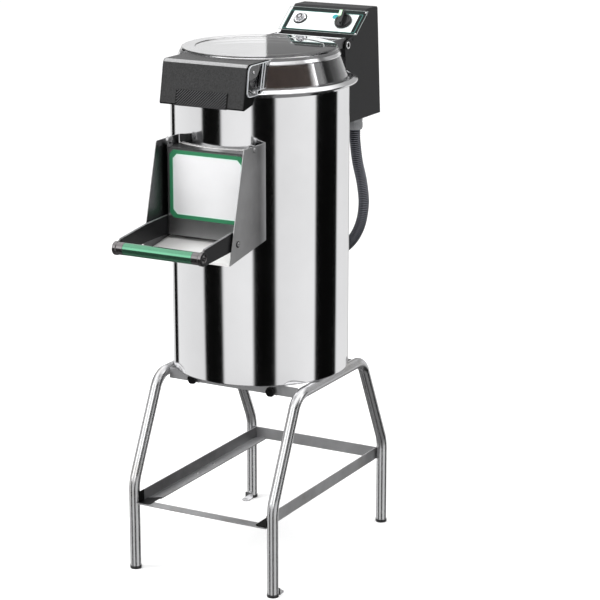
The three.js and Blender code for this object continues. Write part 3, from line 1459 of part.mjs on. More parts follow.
// Conduit glands and the ribbed conduit, in the upright plane that holds the drum's axis
const conduitPlane = groupAt(0, 0, 0);
conduitPlane.rotation.z = -conduitAngle * DEG;
const outletZ = boxLow - glandDrop;
function hexNut(radius, z0, z1) {
  return extrudeUp(circlePoints(radius, 6), z0, z1);
}
const upperGland = add('conduit_gland_upper', cut(
  join(
    hexNut(glandNutRadius, boxLow - seatGap - glandNutLength, boxLow - seatGap),
    turn([
      [0, outletZ + seatGap], [glandSleeveRadius - sheet, outletZ + seatGap],
      [glandSleeveRadius, outletZ + seatGap + sheet], [glandSleeveRadius, boxLow - glandNutLength],
      [0, boxLow - glandNutLength],
    ], roundSides),
  ),
  rod(conduitBore, outletZ - cutOverrun, boxLow + cutOverrun),
), material(0x7b7d80, 0.55, 0.1), conduitPlane);
upperGland.position.y = conduitOutlet;
add('conduit_gland_lower', cut(
  join(
    hexNut(glandNutRadius, drumRadius / 2, drumRadius + glandNutLength).rotateX(-Math.PI / 2),
    turnAlongY([
      [0, drumRadius + seatGap], [glandSleeveRadius, drumRadius + seatGap],
      [glandSleeveRadius, drumRadius + entryGlandLength - sheet],
      [glandSleeveRadius - sheet, drumRadius + entryGlandLength - seatGap],
      [0, drumRadius + entryGlandLength - seatGap],
    ], roundSides),
  ),
  turnAlongY([
    [0, 0], [conduitBore, 0], [conduitBore, drumRadius + entryGlandLength + cutOverrun],
    [0, drumRadius + entryGlandLength + cutOverrun],
  ], roundSides),
  turnedPlug(-conduitAngle, glandNutRadius + cutOverrun),
), material(0x7b7d80, 0.55, 0.1), conduitPlane).position.z = entryZ;

function ribbedConduit() {
  const fall = outletZ - entryZ;
  const route = new THREE.CatmullRomCurve3(
    conduitRouteShares.map(
      ([r, z]) => new THREE.Vector3(0, drumRadius + conduitReach * r, entryZ + fall * z),
    ),
    false, 'centripetal',
  );
  const length = route.getLength();
  const ribs = Math.round(length / conduitPitch);
  const boreEvery = 5;
  const positions = [];
  const faces = [];
  const centres = [];
  const ring = (u, radius) => {
    const centre = route.getPointAt(u);
    const along = route.getTangentAt(u);
    if (u === 0) along.set(0, 0, -1);
    if (u === 1) along.set(0, -1, 0);
    const side = new THREE.Vector3(1, 0, 0);
    const up = new THREE.Vector3().crossVectors(along, side);
    const first = positions.length / 3;
    for (let i = 0; i < conduitSides; i += 1) {
      const angle = ((i + 0.5) * 2 * Math.PI) / conduitSides;
      const point = centre.clone().addScaledVector(side, radius * Math.cos(angle))
        .addScaledVector(up, radius * Math.sin(angle));
      positions.push(point.x, point.y, point.z);
    }
    return first;
  };
  const skin = (a, b, outward) => {
    for (let i = 0; i < conduitSides; i += 1) {
      const j = (i + 1) % conduitSides;
      if (outward) faces.push(a + i, b + i, b + j, a + i, b + j, a + j);
      else faces.push(a + i, b + j, b + i, a + i, a + j, b + j);
    }
  };
  const outer = [];
  const inner = [];
  for (let rib = 0; rib < ribs; rib += 1) {
    outer.push(ring(rib / ribs, conduitRadius - conduitRibDepth));
    outer.push(ring((rib + 0.5) / ribs, conduitRadius));
    centres.push(route.getPointAt((rib + 0.5) / ribs));
    if (rib % boreEvery === 0) inner.push(ring(rib / ribs, conduitBore));
  }
  outer.push(ring(1, conduitRadius - conduitRibDepth));
  inner.push(ring(1, conduitBore));
  for (let i = 1; i < outer.length; i += 1) skin(outer[i - 1], outer[i], true);
  for (let i = 1; i < inner.length; i += 1) skin(inner[i - 1], inner[i], false);
  skin(inner[0], outer[0], true);
  skin(outer[outer.length - 1], inner[inner.length - 1], true);
  let least = Infinity;
  const apart = Math.ceil((conduitRadius * 4) / conduitPitch);
  for (let i = 0; i < centres.length; i += 1) {
    for (let j = i + apart; j < centres.length; j += 1) {
      least = Math.min(least, centres[i].distanceTo(centres[j]) - conduitRadius * 2);
    }
  }
  console.log(`conduit: length ${length.toFixed(1)} mm, ${ribs} ribs, least gap to itself ${least.toFixed(1)} mm`);
  const geometry = new THREE.BufferGeometry();
  geometry.setAttribute('position', new THREE.Float32BufferAttribute(positions, 3));
  geometry.setIndex(faces);
  return geometryOf(solidOf(geometry));
}
add('conduit', ribbedConduit(), material(0x474b55, 0.5, 0.2), conduitPlane);

// The origin goes to the middle of the footprint, on the floor
product.updateMatrixWorld(true);
const bounds = new THREE.Box3().setFromObject(product, true);
const middle = bounds.getCenter(new THREE.Vector3());
product.position.set(-middle.x, -middle.y, -bounds.min.z);
product.updateMatrixWorld(true);

export default product;
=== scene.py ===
import json
import math

import bmesh
import bpy
from mathutils import Matrix, Vector


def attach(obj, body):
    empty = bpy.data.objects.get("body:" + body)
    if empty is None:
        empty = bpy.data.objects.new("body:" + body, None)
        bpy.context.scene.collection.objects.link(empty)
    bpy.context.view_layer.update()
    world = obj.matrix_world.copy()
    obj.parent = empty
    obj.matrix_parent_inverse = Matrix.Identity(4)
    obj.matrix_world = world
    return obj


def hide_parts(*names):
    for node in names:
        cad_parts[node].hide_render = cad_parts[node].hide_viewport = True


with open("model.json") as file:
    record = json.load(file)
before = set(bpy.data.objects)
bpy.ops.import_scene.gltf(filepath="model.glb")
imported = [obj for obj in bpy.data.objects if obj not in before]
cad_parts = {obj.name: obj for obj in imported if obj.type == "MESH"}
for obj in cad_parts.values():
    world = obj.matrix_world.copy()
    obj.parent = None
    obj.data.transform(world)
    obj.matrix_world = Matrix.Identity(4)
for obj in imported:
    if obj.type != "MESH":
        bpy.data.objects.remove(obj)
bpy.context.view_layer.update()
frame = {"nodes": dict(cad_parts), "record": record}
scene = bpy.context.scene
record = frame["record"]
BODY_OF = {n: b for b, names in record["behaviour"]["bodies"].items() for n in names}

# Lengths below are in millimetres from the drum's axis, which lies SHIFT along Y in the object frame
MM = 0.001
SHIFT = 16.25


def at(x, y, z):
    return Vector((x * MM, (y + SHIFT) * MM, z * MM))


def in_mm(place):
    """The inverse of at."""
    return place.x / MM, place.y / MM - SHIFT, place.z / MM


def linked(name, data):
    made = bpy.data.objects.new(name, data)
    scene.collection.objects.link(made)
    return made


# --- camera
YAW = math.radians(28.57)
PITCH = math.radians(15.02)
DISTANCE = 4955.64
TARGET = (101.71, 0.0, 604.8)


def make_camera():
    data = bpy.data.cameras.new("camera")
    data.lens = 131.8
    data.sensor_width = 36
    data.clip_start = 0.1
    data.clip_end = 100
    camera = linked("camera", data)
    back = Vector((math.sin(YAW) * math.cos(PITCH), -math.cos(YAW) * math.cos(PITCH), math.sin(PITCH)))
    camera.location = at(*TARGET) + back * DISTANCE * MM
    camera.rotation_mode = "QUATERNION"
    camera.rotation_quaternion = (-back).to_track_quat("-Z", "Y")
    scene.camera = camera


# --- looks
LOOKS = {}
EVEN = (1, 1, 1)
WHITE = (1, 1, 1, 1)


def feed(tree, made, inputs):
    """Gives each input its number, its colour or the socket that drives it."""
    for key, value in inputs.items():
        if isinstance(value, bpy.types.NodeSocket):
            tree.links.new(value, made.inputs[key])
        else:
            made.inputs[key].default_value = value


def node(tree, kind, inputs=None, **settings):
    made = tree.nodes.new(f"ShaderNode{kind}")
    for key, value in settings.items():
        setattr(made, key, value)
    feed(tree, made, inputs or {})
    return made


def maths(tree, operation, *values, **settings):
    return node(tree, "Math", dict(enumerate(values)), operation=operation, **settings).outputs["Value"]


def ramp_of(tree, stops, fac):
    """A ramp through stops of a place and a grey or a colour."""
    made = node(tree, "ValToRGB", {"Fac": fac})
    elements = made.color_ramp.elements
    while len(elements) > 1:
        elements.remove(elements[-1])
    for i, (place, value) in enumerate(stops):
        element = elements.new(place) if i else elements[0]
        element.position = place
        colour = value if isinstance(value, tuple) else (value, value, value)
        element.color = (*colour, 1)
    return made.outputs["Color"]


def noise(tree, scale, detail, stretch=EVEN, distortion=0.0):
    """Noise in the object's own metres, its three directions scaled by stretch."""
    coord = node(tree, "TexCoord")
    place = node(tree, "Mapping", {"Vector": coord.outputs["Object"], "Scale": stretch})
    return node(tree, "TexNoise", {
        "Vector": place.outputs["Vector"], "Scale": scale, "Detail": detail, "Roughness": 0.6,
        "Distortion": distortion,
    }).outputs["Fac"]


def ranged(tree, value, low, high, start=0.3, end=0.7):
    """From low, where the value is start, to high, where it is end."""
    return node(tree, "MapRange", {
        "Value": value, "From Min": start, "From Max": end, "To Min": low, "To Max": high,
    }).outputs["Result"]


def bumped(tree, height, strength, depth):
    return node(tree, "Bump", {"Height": height, "Strength": strength, "Distance": depth * MM}).outputs["Normal"]


def new_look(name):
    """A new material under its name; returns its tree and its shader."""
    LOOKS[name] = bpy.data.materials.new(name)
    LOOKS[name].use_nodes = True
    tree = LOOKS[name].node_tree
    return tree, tree.nodes["Principled BSDF"]


def solid(
    name, colour, rough, metal, tone, tone_scale, spread, grain, bump, depth,
    stretch=EVEN, coat=0.0, specular=0.5, soil=None, detail=3.0,
):
    """A finish with cloudy tone, a roughness that varies, and a fine grain in its bump.

    Scales are per metre and depth is in millimetres; soil is the darkest cloud's own colour.
    """
    tree, shader = new_look(name)
    cloud = noise(tree, tone_scale, 5.0)
    fine = noise(tree, grain, detail, stretch)
    dark = tuple(c * (1 - tone) for c in colour)
    light = tuple(c * (1 + tone) for c in colour)
    stops = [(0.3, soil), (0.42, dark), (0.68, light)] if soil else [(0.34, dark), (0.66, light)]
    wear = maths(tree, "MULTIPLY_ADD", cloud, 0.4, maths(tree, "MULTIPLY", fine, 0.6))
    feed(tree, shader, {
        "Base Color": ramp_of(tree, stops, cloud),
        "Metallic": metal,
        "Roughness": ranged(tree, wear, max(rough - spread, 0.02), rough + spread),
        "Coat Weight": coat,
        "Coat Roughness": 0.08,
        "Specular IOR Level": specular,
        "Normal": bumped(tree, fine, bump, depth),
    })


def clear(name, tint, face, rough):
    """Clear sheet: see-through from the front and more like a mirror at a low angle."""
    tree, shader = new_look(name)
    cloud = noise(tree, 14.0, 5.0)
    dark = tuple(c * 0.94 for c in tint)
    bounce = node(tree, "Fresnel", {"IOR": 1.5}).outputs["Fac"]
    scratches = noise(tree, 240.0, 3.0, (3, 1, 1), 0.4)
    feed(tree, shader, {
        "Base Color": ramp_of(tree, [(0.35, dark), (0.65, tint)], cloud),
        "Metallic": 1.0,
        "Roughness": ranged(tree, cloud, rough * 0.7, rough * 1.6),
        "Alpha": maths(tree, "MULTIPLY_ADD", bounce, 1.6, face, use_clamp=True),
        "Normal": bumped(tree, scratches, 0.02, 0.2),
    })


BRUSHED = {"grain": 1900, "bump": 0.07, "depth": 0.05, "stretch": (1, 1, 0.06), "detail": 2.0}
# Colour, roughness, metal; change of tone, its scale, spread of the roughness; grain, bump, its depth
solid("mirror_steel", (0.86, 0.86, 0.87), 0.09, 1, 0.03, 5, 0.03, 90, 0.05, 0.05, stretch=(1, 1, 14))
solid("rim_steel", (0.84, 0.84, 0.85), 0.13, 1, 0.04, 9, 0.04, 300, 0.06, 0.06, stretch=(1, 1, 6))
solid(
    "tube_steel", (0.64, 0.64, 0.65), 0.26, 1, 0.05, 10, 0.02, 900, 0.02, 0.04,
    stretch=(1, 1, 0.1), soil=(0.56, 0.55, 0.54),
)
solid(
    "bar_steel", (0.54, 0.54, 0.55), 0.5, 1, 0.08, 14, 0.06, 1200, 0.12, 0.08,
    stretch=(0.1, 0.1, 1), soil=(0.43, 0.42, 0.41),
)
solid(
    "rail_shade", (0.25, 0.25, 0.255), 0.42, 1, 0.12, 14, 0.06, 1200, 0.12, 0.08,
    stretch=(0.1, 0.1, 1), soil=(0.19, 0.185, 0.18),
)
solid("cheek_steel", (0.47, 0.47, 0.475), 0.36, 1, 0.2, 6, 0.04, **BRUSHED)
solid("shade_sheet", (0.06, 0.06, 0.062), 0.3, 1, 0.1, 8, 0.04, **BRUSHED)
solid("door_steel", (0.36, 0.36, 0.365), 0.32, 1, 0.12, 7, 0.04, 1900, 0.07, 0.05, stretch=(0.06, 1, 1), detail=2.0)
solid("sheet_steel", (0.66, 0.66, 0.67), 0.3, 1, 0.03, 5, 0.03, **BRUSHED)
solid("cast_metal", (0.5, 0.51, 0.53), 0.48, 1, 0.1, 22, 0.1, 900, 0.5, 0.3, soil=(0.34, 0.33, 0.32))
solid("black_coat", (0.017, 0.017, 0.018), 0.55, 0, 0.15, 60, 0.07, 1500, 0.3, 0.1, specular=0.25)
solid("handle_coat", (0.014, 0.014, 0.0145), 0.42, 0, 0.7, 330, 0.12, 700, 1.0, 0.6)
# Painted highlight for the fold of the lid's handle
solid("painted_fold_highlight", (0.26, 0.26, 0.262), 0.36, 0, 0.25, 330, 0.1, 900, 0.6, 0.3, specular=0.9)
solid("deep_black", (0.003, 0.003, 0.003), 0.5, 0, 0.2, 40, 0.06, 1200, 0.15, 0.1, specular=0.06)
solid("grip_rubber", (0.009, 0.009, 0.009), 0.6, 0, 0.15, 40, 0.08, 1800, 0.4, 0.1, specular=0.05)
# Black plastic of the feet's boots; also painted shade in the button's groove
solid("black_plastic", (0.014, 0.014, 0.015), 0.3, 0, 0.2, 40, 0.08, 1200, 0.15, 0.1, specular=0.6)
solid("dial_black", (0.005, 0.005, 0.006), 0.25, 0, 0.2, 40, 0.05, 1200, 0.08, 0.06)
solid("rubber", (0.012, 0.012, 0.013), 0.7, 0, 0.2, 50, 0.1, 1500, 0.4, 0.2)
solid("grit", (0.34, 0.28, 0.25), 0.92, 0, 0.3, 160, 0.05, 420, 1.0, 1.6, detail=6.0, specular=0.3)
# Painted shade: a darker copy of the sheet steel for faces that lie in shade
solid("painted_shade_sheet", (0.14, 0.14, 0.145), 0.3, 1, 0.06, 6, 0.04, **BRUSHED)
solid("green_enamel", (0.1, 0.27, 0.17), 0.12, 0.86, 0.05, 20, 0.03, 700, 0.04, 0.05)
solid("green_print", (0.025, 0.19, 0.085), 0.35, 0, 0.05, 18, 0.05, 1600, 0.1, 0.05)
solid("white_print", (0.72, 0.72, 0.73), 0.34, 0, 0.02, 12, 0.05, 1600, 0.08, 0.05)
solid("panel_print", (0.004, 0.009, 0.008), 0.5, 0, 0.15, 24, 0.05, 1600, 0.1, 0.05, specular=0.2)
solid("panel_white", (0.80, 0.85, 0.84), 0.32, 0, 0.03, 14, 0.05, 1600, 0.08, 0.05)
solid("mint_mark", (0.5, 0.82, 0.5), 0.4, 0, 0.08, 60, 0.05, 900, 0.1, 0.05)
solid("teal_mark", (0.01, 0.26, 0.28), 0.4, 0, 0.1, 60, 0.05, 900, 0.1, 0.05)
solid("button_metal", (0.56, 0.56, 0.58), 0.22, 1, 0.06, 60, 0.08, 1100, 0.15, 0.06)
solid("gland_grey", (0.25, 0.255, 0.265), 0.38, 0, 0.1, 50, 0.08, 1300, 0.2, 0.1)
solid("conduit_grey", (0.2, 0.205, 0.235), 0.13, 0.6, 0.1, 40, 0.04, 1400, 0.06, 0.06, specular=0.8)
solid("machine_grey", (0.08, 0.085, 0.09), 0.5, 0, 0.12, 30, 0.08, 900, 0.35, 0.2)
# Painted highlight: pale and opaque, for the bright edges of clear plastic
solid("painted_edge_glint", (0.62, 0.64, 0.66), 0.2, 0, 0.05, 30, 0.05, 900, 0.06, 0.05, coat=0.6)
# Painted highlight: light grey for the edge of the panel's frame
solid("painted_frame_highlight", (0.34, 0.38, 0.37), 0.35, 0, 0.05, 30, 0.05, 1200, 0.06, 0.05)
solid("teal_line", (0.015, 0.12, 0.10), 0.35, 0, 0.05, 30, 0.05, 1200, 0.06, 0.05)
solid("arm_edge", (0.42, 0.42, 0.43), 0.3, 1, 0.08, 40, 0.06, 1400, 0.12, 0.06)
solid("bead_steel", (0.5, 0.5, 0.51), 0.34, 1, 0.08, 40, 0.06, 1400, 0.12, 0.06)
solid("cap_black", (0.13, 0.122, 0.124), 0.14, 0.9, 0.15, 30, 0.06, 1300, 0.15, 0.08, coat=0.6, specular=0.6)
solid("arm_face", (0.006, 0.006, 0.007), 0.36, 0, 0.15, 26, 0.06, 1300, 0.12, 0.08, specular=0.22)
solid("pale_sheet", (0.86, 0.85, 0.84), 0.34, 0.3, 0.02, 8, 0.04, 1700, 0.06, 0.05, stretch=(0.08, 1, 1), detail=2.0)
# Painted light: a lighter copy of the grip's rubber for its ribs
solid("lit_rib_rubber", (0.05, 0.05, 0.052), 0.5, 0, 0.12, 60, 0.08, 1800, 0.3, 0.1, specular=0.3)
# Painted shade for the conduit's grooves, crests and down-facing rib slopes
solid("conduit_groove_shade", (0.006, 0.007, 0.01), 0.5, 0, 0.15, 60, 0.06, 1400, 0.12, 0.1, specular=0.1)
solid("mint_line", (0.62, 0.84, 0.74), 0.34, 0, 0.03, 20, 0.05, 1600, 0.08, 0.05)
solid("tick_print", (0.12, 0.13, 0.13), 0.4, 0, 0.1, 60, 0.05, 1600, 0.08, 0.05)
solid("band_shade", (0.11, 0.11, 0.112), 0.25, 0.3, 0.08, 16, 0.06, 900, 0.06, 0.05, coat=0.3)
solid("knob_black", (0.005, 0.005, 0.005), 0.2, 0, 0.2, 40, 0.06, 1200, 0.1, 0.1, specular=0.25)
solid("pale_floor", (0.9, 0.9, 0.9), 0.85, 0, 0.004, 2, 0.05, 30, 0.02, 0.5, specular=0.1)
clear("clear_sheet", (0.9, 0.9, 0.91), 0.03, 0.012)
clear("clear_band", (0.93, 0.93, 0.94), 0.72, 0.08)


def whiten_floor():
    """A little light of its own for the camera, so that the bare floor is white and its shadow stays."""
    tree = LOOKS["pale_floor"].node_tree
    glow = 0.17
    path = node(tree, "LightPath")
    feed(tree, tree.nodes["Principled BSDF"], {
        "Emission Color": WHITE,
        "Emission Strength": maths(tree, "MULTIPLY", path.outputs["Is Camera Ray"], glow),
    })


# --- forms: (points, faces) in mm
def arc(cx, cy, radius, start, end, steps):
    points = []
    for i in range(steps + 1):
        angle = math.radians(start + (end - start) * i / steps)
        points.append((cx + radius * math.cos(angle), cy + radius * math.sin(angle)))
    return points


def circle(radius, sides, cx=0.0, cy=0.0):
    return arc(cx, cy, radius, 0, 360, sides)[:-1]


def oblong(u0, u1, v0, v1):
    return [(u0, v0), (u1, v0), (u1, v1), (u0, v1)]


def fillet(a, b, c, radius, steps):
    """The corner b between a and c, rounded."""
    a, b, c = Vector(a), Vector(b), Vector(c)
    u, w = a - b, c - b
    room = min(u.length, w.length)
    u.normalize()
    w.normalize()
    half = math.acos(max(-1, min(1, u.dot(w)))) / 2
    if half > math.radians(88) or radius <= 0:
        return [tuple(b)]
    reach = min(radius / math.tan(half), room * 0.49)
    radius = reach * math.tan(half)
    centre = b + (u + w).normalized() * (radius / math.sin(half))
    start, end = b + u * reach - centre, b + w * reach - centre
    sweep = math.atan2(start.x * end.y - start.y * end.x, start.dot(end))
    points = []
    for i in range(steps + 1):
        turn = sweep * i / steps
        points.append((
            centre.x + start.x * math.cos(turn) - start.y * math.sin(turn),
            centre.y + start.x * math.sin(turn) + start.y * math.cos(turn),
        ))
    return points


def rounded(points, radii, steps=4, closed=True):
    """Rounds every corner of an outline by one radius, or each by its own."""
    count = len(points)
    if not isinstance(radii, list):
        radii = [radii] * count
    made = []
    for i in range(count):
        if not closed and i in (0, count - 1):
            made.append(points[i])
        else:
            made += fillet(points[i - 1], points[i], points[(i + 1) % count], radii[i], steps)
    return made


def merged(*forms):
    points, faces = [], []
    for p, f in forms:
        start = len(points)
        points += p
        faces += [[i + start for i in face] for face in f]
    return points, faces


def moved(form, matrix):
    return [tuple(matrix @ Vector(p)) for p in form[0]], form[1]


def mirrored(form):
    return [(-x, y, z) for x, y, z in form[0]], [list(reversed(f)) for f in form[1]]


def both(form):
    """The form and its mirror image on the other side."""
    return merged(form, mirrored(form))


def about_z(degrees):
    return Matrix.Rotation(math.radians(degrees), 4, "Z")


# An outline's two directions and its height as x, y and z, for each axis it can stand on
PLANES = {
    "X": lambda u, v, w: (w, u, v),
    "Y": lambda u, v, w: (u, w, v),
    "Z": lambda u, v, w: (u, v, w),
}


def turned(profile, sides, axis="Z", centre=(0, 0, 0)):
    """A profile of radius and height turned about an axis; one that starts and ends off it is a ring."""
    points, rows = [], []
    for radius, height in profile:
        ring = circle(radius, sides) if radius > 0 else [(0, 0)]
        rows.append(list(range(len(points), len(points) + len(ring))))
        points += [PLANES[axis](u, v, height) for u, v in ring]
    if len(rows[0]) > 1 and len(rows[-1]) > 1:
        rows.append(rows[0])
    faces = []
    for a, b in zip(rows, rows[1:]):
        for i in range(sides):
            j = (i + 1) % sides
            if len(a) > 1 and len(b) > 1:
                faces.append([a[i], a[j], b[j], b[i]])
            elif len(a) > 1:
                faces.append([a[i], a[j], b[0]])
            elif len(b) > 1:
                faces.append([a[0], b[j], b[i]])
    cx, cy, cz = centre
    return [(x + cx, y + cy, z + cz) for x, y, z in points], faces


def lathed(profile, radii, steps, sides, axis="Z", centre=(0, 0, 0)):
    """A profile turned with its corners rounded: one from axis to axis, or a closed one beside the axis."""
    beside = profile[0][0] > 0
    return turned(rounded(profile, radii, steps, closed=beside), sides, axis, centre)


def disc(radius, low, high, sides, axis="Z", centre=(0, 0, 0)):
    return turned([(0, low), (radius, low), (radius, high), (0, high)], sides, axis, centre)


def swept(path, radius, sides, bore=0.0):
    """A round tube along a path; radius is one number or one for each point."""
    path = [Vector(p) for p in path]
    count = len(path)
    radii = radius if isinstance(radius, list) else [radius] * count
    tangents = []
    for i in range(count):
        tangents.append((path[min(i + 1, count - 1)] - path[max(i - 1, 0)]).normalized())
    side = tangents[0].orthogonal().normalized()
    points, faces = [], []
    for i in range(count):
        side = (side - tangents[i] * side.dot(tangents[i])).normalized()
        other = tangents[i].cross(side)
        for k in range(sides):
            turn = 2 * math.pi * k / sides
            points.append(tuple(path[i] + (side * math.cos(turn) + other * math.sin(turn)) * radii[i]))
    for i in range(count - 1):
        for k in range(sides):
            j = (k + 1) % sides
            faces.append([i * sides + k, i * sides + j, (i + 1) * sides + j, (i + 1) * sides + k])
    last = (count - 1) * sides
    if bore <= 0:
        faces.append(list(range(sides))[::-1])
        faces.append([last + k for k in range(sides)])
        return points, faces
    inner = swept(path, bore, sides)
    start = len(points)
    points += inner[0]
    faces += [[i + start for i in reversed(face)] for face in inner[1][:-2]]
    for k in range(sides):
        j = (k + 1) % sides
        faces.append([k, start + k, start + j, j])
        faces.append([last + k, last + j, start + last + j, start + last + k])
    return points, faces


def evaluated(holder):
    """The form that an object's curve or modifiers make."""
    bpy.context.view_layer.update()
    mesh = bpy.data.meshes.new_from_object(holder.evaluated_get(bpy.context.evaluated_depsgraph_get()))
    form = [tuple(v.co) for v in mesh.vertices], [list(p.vertices) for p in mesh.polygons]
    bpy.data.meshes.remove(mesh)
    return form


def as_bmesh(form):
    made = bmesh.new()
    verts = [made.verts.new(p) for p in form[0]]
    for face in form[1]:
        try:
            made.faces.new([verts[i] for i in face])
        except ValueError:
            pass
    return made


def as_form(made):
    made.verts.index_update()
    form = [tuple(v.co) for v in made.verts], [[v.index for v in f.verts] for f in made.faces]
    made.free()
    return form


def welded(form, distance=0.002):
    made = as_bmesh(form)
    bmesh.ops.remove_doubles(made, verts=made.verts, dist=distance)
    bmesh.ops.recalc_face_normals(made, faces=made.faces)
    return as_form(made)


def plate(outline, low, high, plane, holes=(), edge=0.3, steps=2):
    """An outline made into a sheet between two places along an axis, with rounded edges."""
    curve = bpy.data.curves.new("outline", "CURVE")
    curve.dimensions = "2D"
    curve.fill_mode = "BOTH"
    curve.extrude = max((high - low) / 2 - edge, 0)
    curve.bevel_depth = edge
    curve.bevel_resolution = steps
    curve.offset = -edge
    for loop in (outline, *holes):
        spline = curve.splines.new("POLY")
        spline.points.add(len(loop) - 1)
        for point, (u, v) in zip(spline.points, loop):
            point.co = (u, v, 0, 1)
        spline.use_cyclic_u = True
    holder = linked("outline", curve)
    points, faces = evaluated(holder)
    bpy.data.objects.remove(holder)
    bpy.data.curves.remove(curve)
    middle = (low + high) / 2
    return welded(([PLANES[plane](u, v, w + middle) for u, v, w in points], faces))


def block(x0, x1, y0, y1, z0, z1, edge=0.4):
    return plate(oblong(x0, x1, y0, y1), z0, z1, "Z", edge=edge, steps=1)


def carved(form, *tools):
    """The form with each tool cut out of it."""
    holders = []
    for part in (form, *tools):
        mesh = bpy.data.meshes.new("part")
        points, faces = welded(part)
        mesh.from_pydata(points, [], faces)
        holders.append(linked("part", mesh))
    for tool in holders[1:]:
        step = holders[0].modifiers.new("cut", "BOOLEAN")
        step.operation = "DIFFERENCE"
        step.solver = "EXACT"
        step.object = tool
    made = evaluated(holders[0])
    for holder in holders:
        data = holder.data
        bpy.data.objects.remove(holder)
        bpy.data.meshes.remove(data)
    return made


def of_node(name):
    """A CAD node's own mesh as a form, measured from the drum's axis."""
    mesh = frame["nodes"][name].data
    return [in_mm(v.co) for v in mesh.vertices], [list(p.vertices) for p in mesh.polygons]


def softened(form, edge, steps=2):
    """Rounds the sharp edges of a flat-sided form."""
    made = as_bmesh(form)
    bmesh.ops.remove_doubles(made, verts=made.verts, dist=0.01)
    bmesh.ops.dissolve_limit(made, angle_limit=math.radians(0.5), verts=made.verts, edges=made.edges)
    bmesh.ops.recalc_face_normals(made, faces=made.faces)
    least = math.radians(32)
    sharp = [e for e in made.edges if len(e.link_faces) == 2 and e.calc_face_angle(0) > least]
    bmesh.ops.bevel(
        made, geom=sharp, offset=edge, segments=steps, profile=0.5, affect="EDGES",
        clamp_overlap=True, offset_type="OFFSET",
    )
    return as_form(made)


def piece(name, form, look, stands_for=None, body=None, sharp=38, weighted=True, others=()):
    """Makes the object of a form, lets it ride on its body and stand for its CAD node.

    others are further looks, each with the test of a face's middle (mm) and normal that takes it.
    """
    points, faces = form
    mesh = bpy.data.meshes.new(name)
    mesh.from_pydata([at(*p) for p in points], [], faces)
    made = bmesh.new()
    made.from_mesh(mesh)
    bmesh.ops.remove_doubles(made, verts=made.verts, dist=2e-6)
    bmesh.ops.recalc_face_normals(made, faces=made.faces)
    made.to_mesh(mesh)
    made.free()
    mesh.validate()
    mesh.polygons.foreach_set("use_smooth", [True] * len(mesh.polygons))
    mesh.set_sharp_from_angle(angle=math.radians(sharp))
    mesh.materials.append(LOOKS[look])
    for slot, (other, test) in enumerate(others, 1):
        mesh.materials.append(LOOKS[other])
        for face in mesh.polygons:
            if test(Vector(in_mm(face.center)), face.normal):
                face.material_index = slot
    made = linked(name, mesh)
    if weighted:
        step = made.modifiers.new("normals", "WEIGHTED_NORMAL")
        step.keep_sharp = True
        step.weight = 80
    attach(made, body or BODY_OF[stands_for])
    if stands_for:
        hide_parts(stands_for)
    return made


def softened_piece(name, look, stands_for, edge, steps=2, **more):
    """A CAD node's own mesh again, with soft edges."""
    piece(name, softened(of_node(stands_for), edge, steps), look, stands_for, **more)


# --- conduit, first of the pieces
CONDUIT_TURN = 9.5
HOSE_HOLE = 8.8
GLAND_HEIGHT = 645
ROUTE_SHARES = [
    (1, 1), (1, 0.957), (1.004, 0.913), (1.069, 0.731), (1.191, 0.535), (1.242, 0.3555), (1.173, 0.2045),
    (1.0435, 0.1145), (0.876, 0.059), (0.5495, 0.0097), (0.3225, 0), (0.2198, 0), (0.1417, 0),
]


def conduit_point(reach, height):
    angle = math.radians(CONDUIT_TURN)
    return Vector((reach * math.sin(angle), reach * math.cos(angle), height))


def centripetal(knots, steps):
    """The smooth curve through the knots that the CAD conduit follows."""
    ends = [knots[0] * 2 - knots[1], *knots, knots[-1] * 2 - knots[-2]]
    points = []
    for i in range(len(knots) - 1):
        p0, p1, p2, p3 = ends[i:i + 4]
        d0, d1, d2 = ((b - a).length ** 0.5 for a, b in ((p0, p1), (p1, p2), (p2, p3)))
        t1 = ((p1 - p0) / d0 - (p2 - p0) / (d0 + d1) + (p2 - p1) / d1) * d1
        t2 = ((p2 - p1) / d1 - (p3 - p1) / (d1 + d2) + (p3 - p2) / d2) * d1
        for k in range(steps):
            t = k / steps
            points.append(
                p1 * (2 * t ** 3 - 3 * t ** 2 + 1) + t1 * (t ** 3 - 2 * t ** 2 + t)
                + p2 * (3 * t ** 2 - 2 * t ** 3) + t2 * (t ** 3 - t ** 2)
            )
    points.append(knots[-1])
    return points


def evenly(points, count):
    """The same line in steps of one length, and its whole length."""
    lengths = [0.0]
    for a, b in zip(points, points[1:]):
        lengths.append(lengths[-1] + (b - a).length)
    total, made, k = lengths[-1], [], 0
    for i in range(count + 1):
        want = total * i / count
        while k < len(points) - 2 and lengths[k + 1] < want:
            k += 1
        share = (want - lengths[k]) / max(lengths[k + 1] - lengths[k], 1e-9)
        made.append(points[k].lerp(points[k + 1], share))
    return made, total


def make_conduit():
    rings, per_ring, sides = 90, 10, 28
    valley, rib = 10.6, 2.6
    knots = [conduit_point(200 + 155 * r, GLAND_HEIGHT + 290 * z) for r, z in ROUTE_SHARES]
    line, length = evenly(centripetal(knots, 24), rings * per_ring)
    radii = [valley + rib * abs(math.sin(math.pi * i / per_ring)) ** 0.35 for i in range(len(line))]
    hose = piece(
        "conduit_hose", swept(line, radii, sides), "conduit_grey", "conduit", sharp=180, weighted=False,
    )
    # Painted light and shade: each rib's up-facing slope keeps the lighter grey; its groove, crest and down-facing
    # slope take the dark look
    hose.data.materials.append(LOOKS["conduit_groove_shade"])
    for face in hose.data.polygons:
        if (face.index // sides) % per_ring not in (1, 2, 3, 4):
            face.material_index = 1


# --- drum and rim
DRUM_SIDES = 288
DRUM_SEAT = 200.3


def wall_hole(radius, angle, height):
    """A round cutter through the drum's wall, at an angle from the back towards the left."""
    return moved(disc(radius, 100, 230, 48, "Y", (0, 0, height)), about_z(angle))


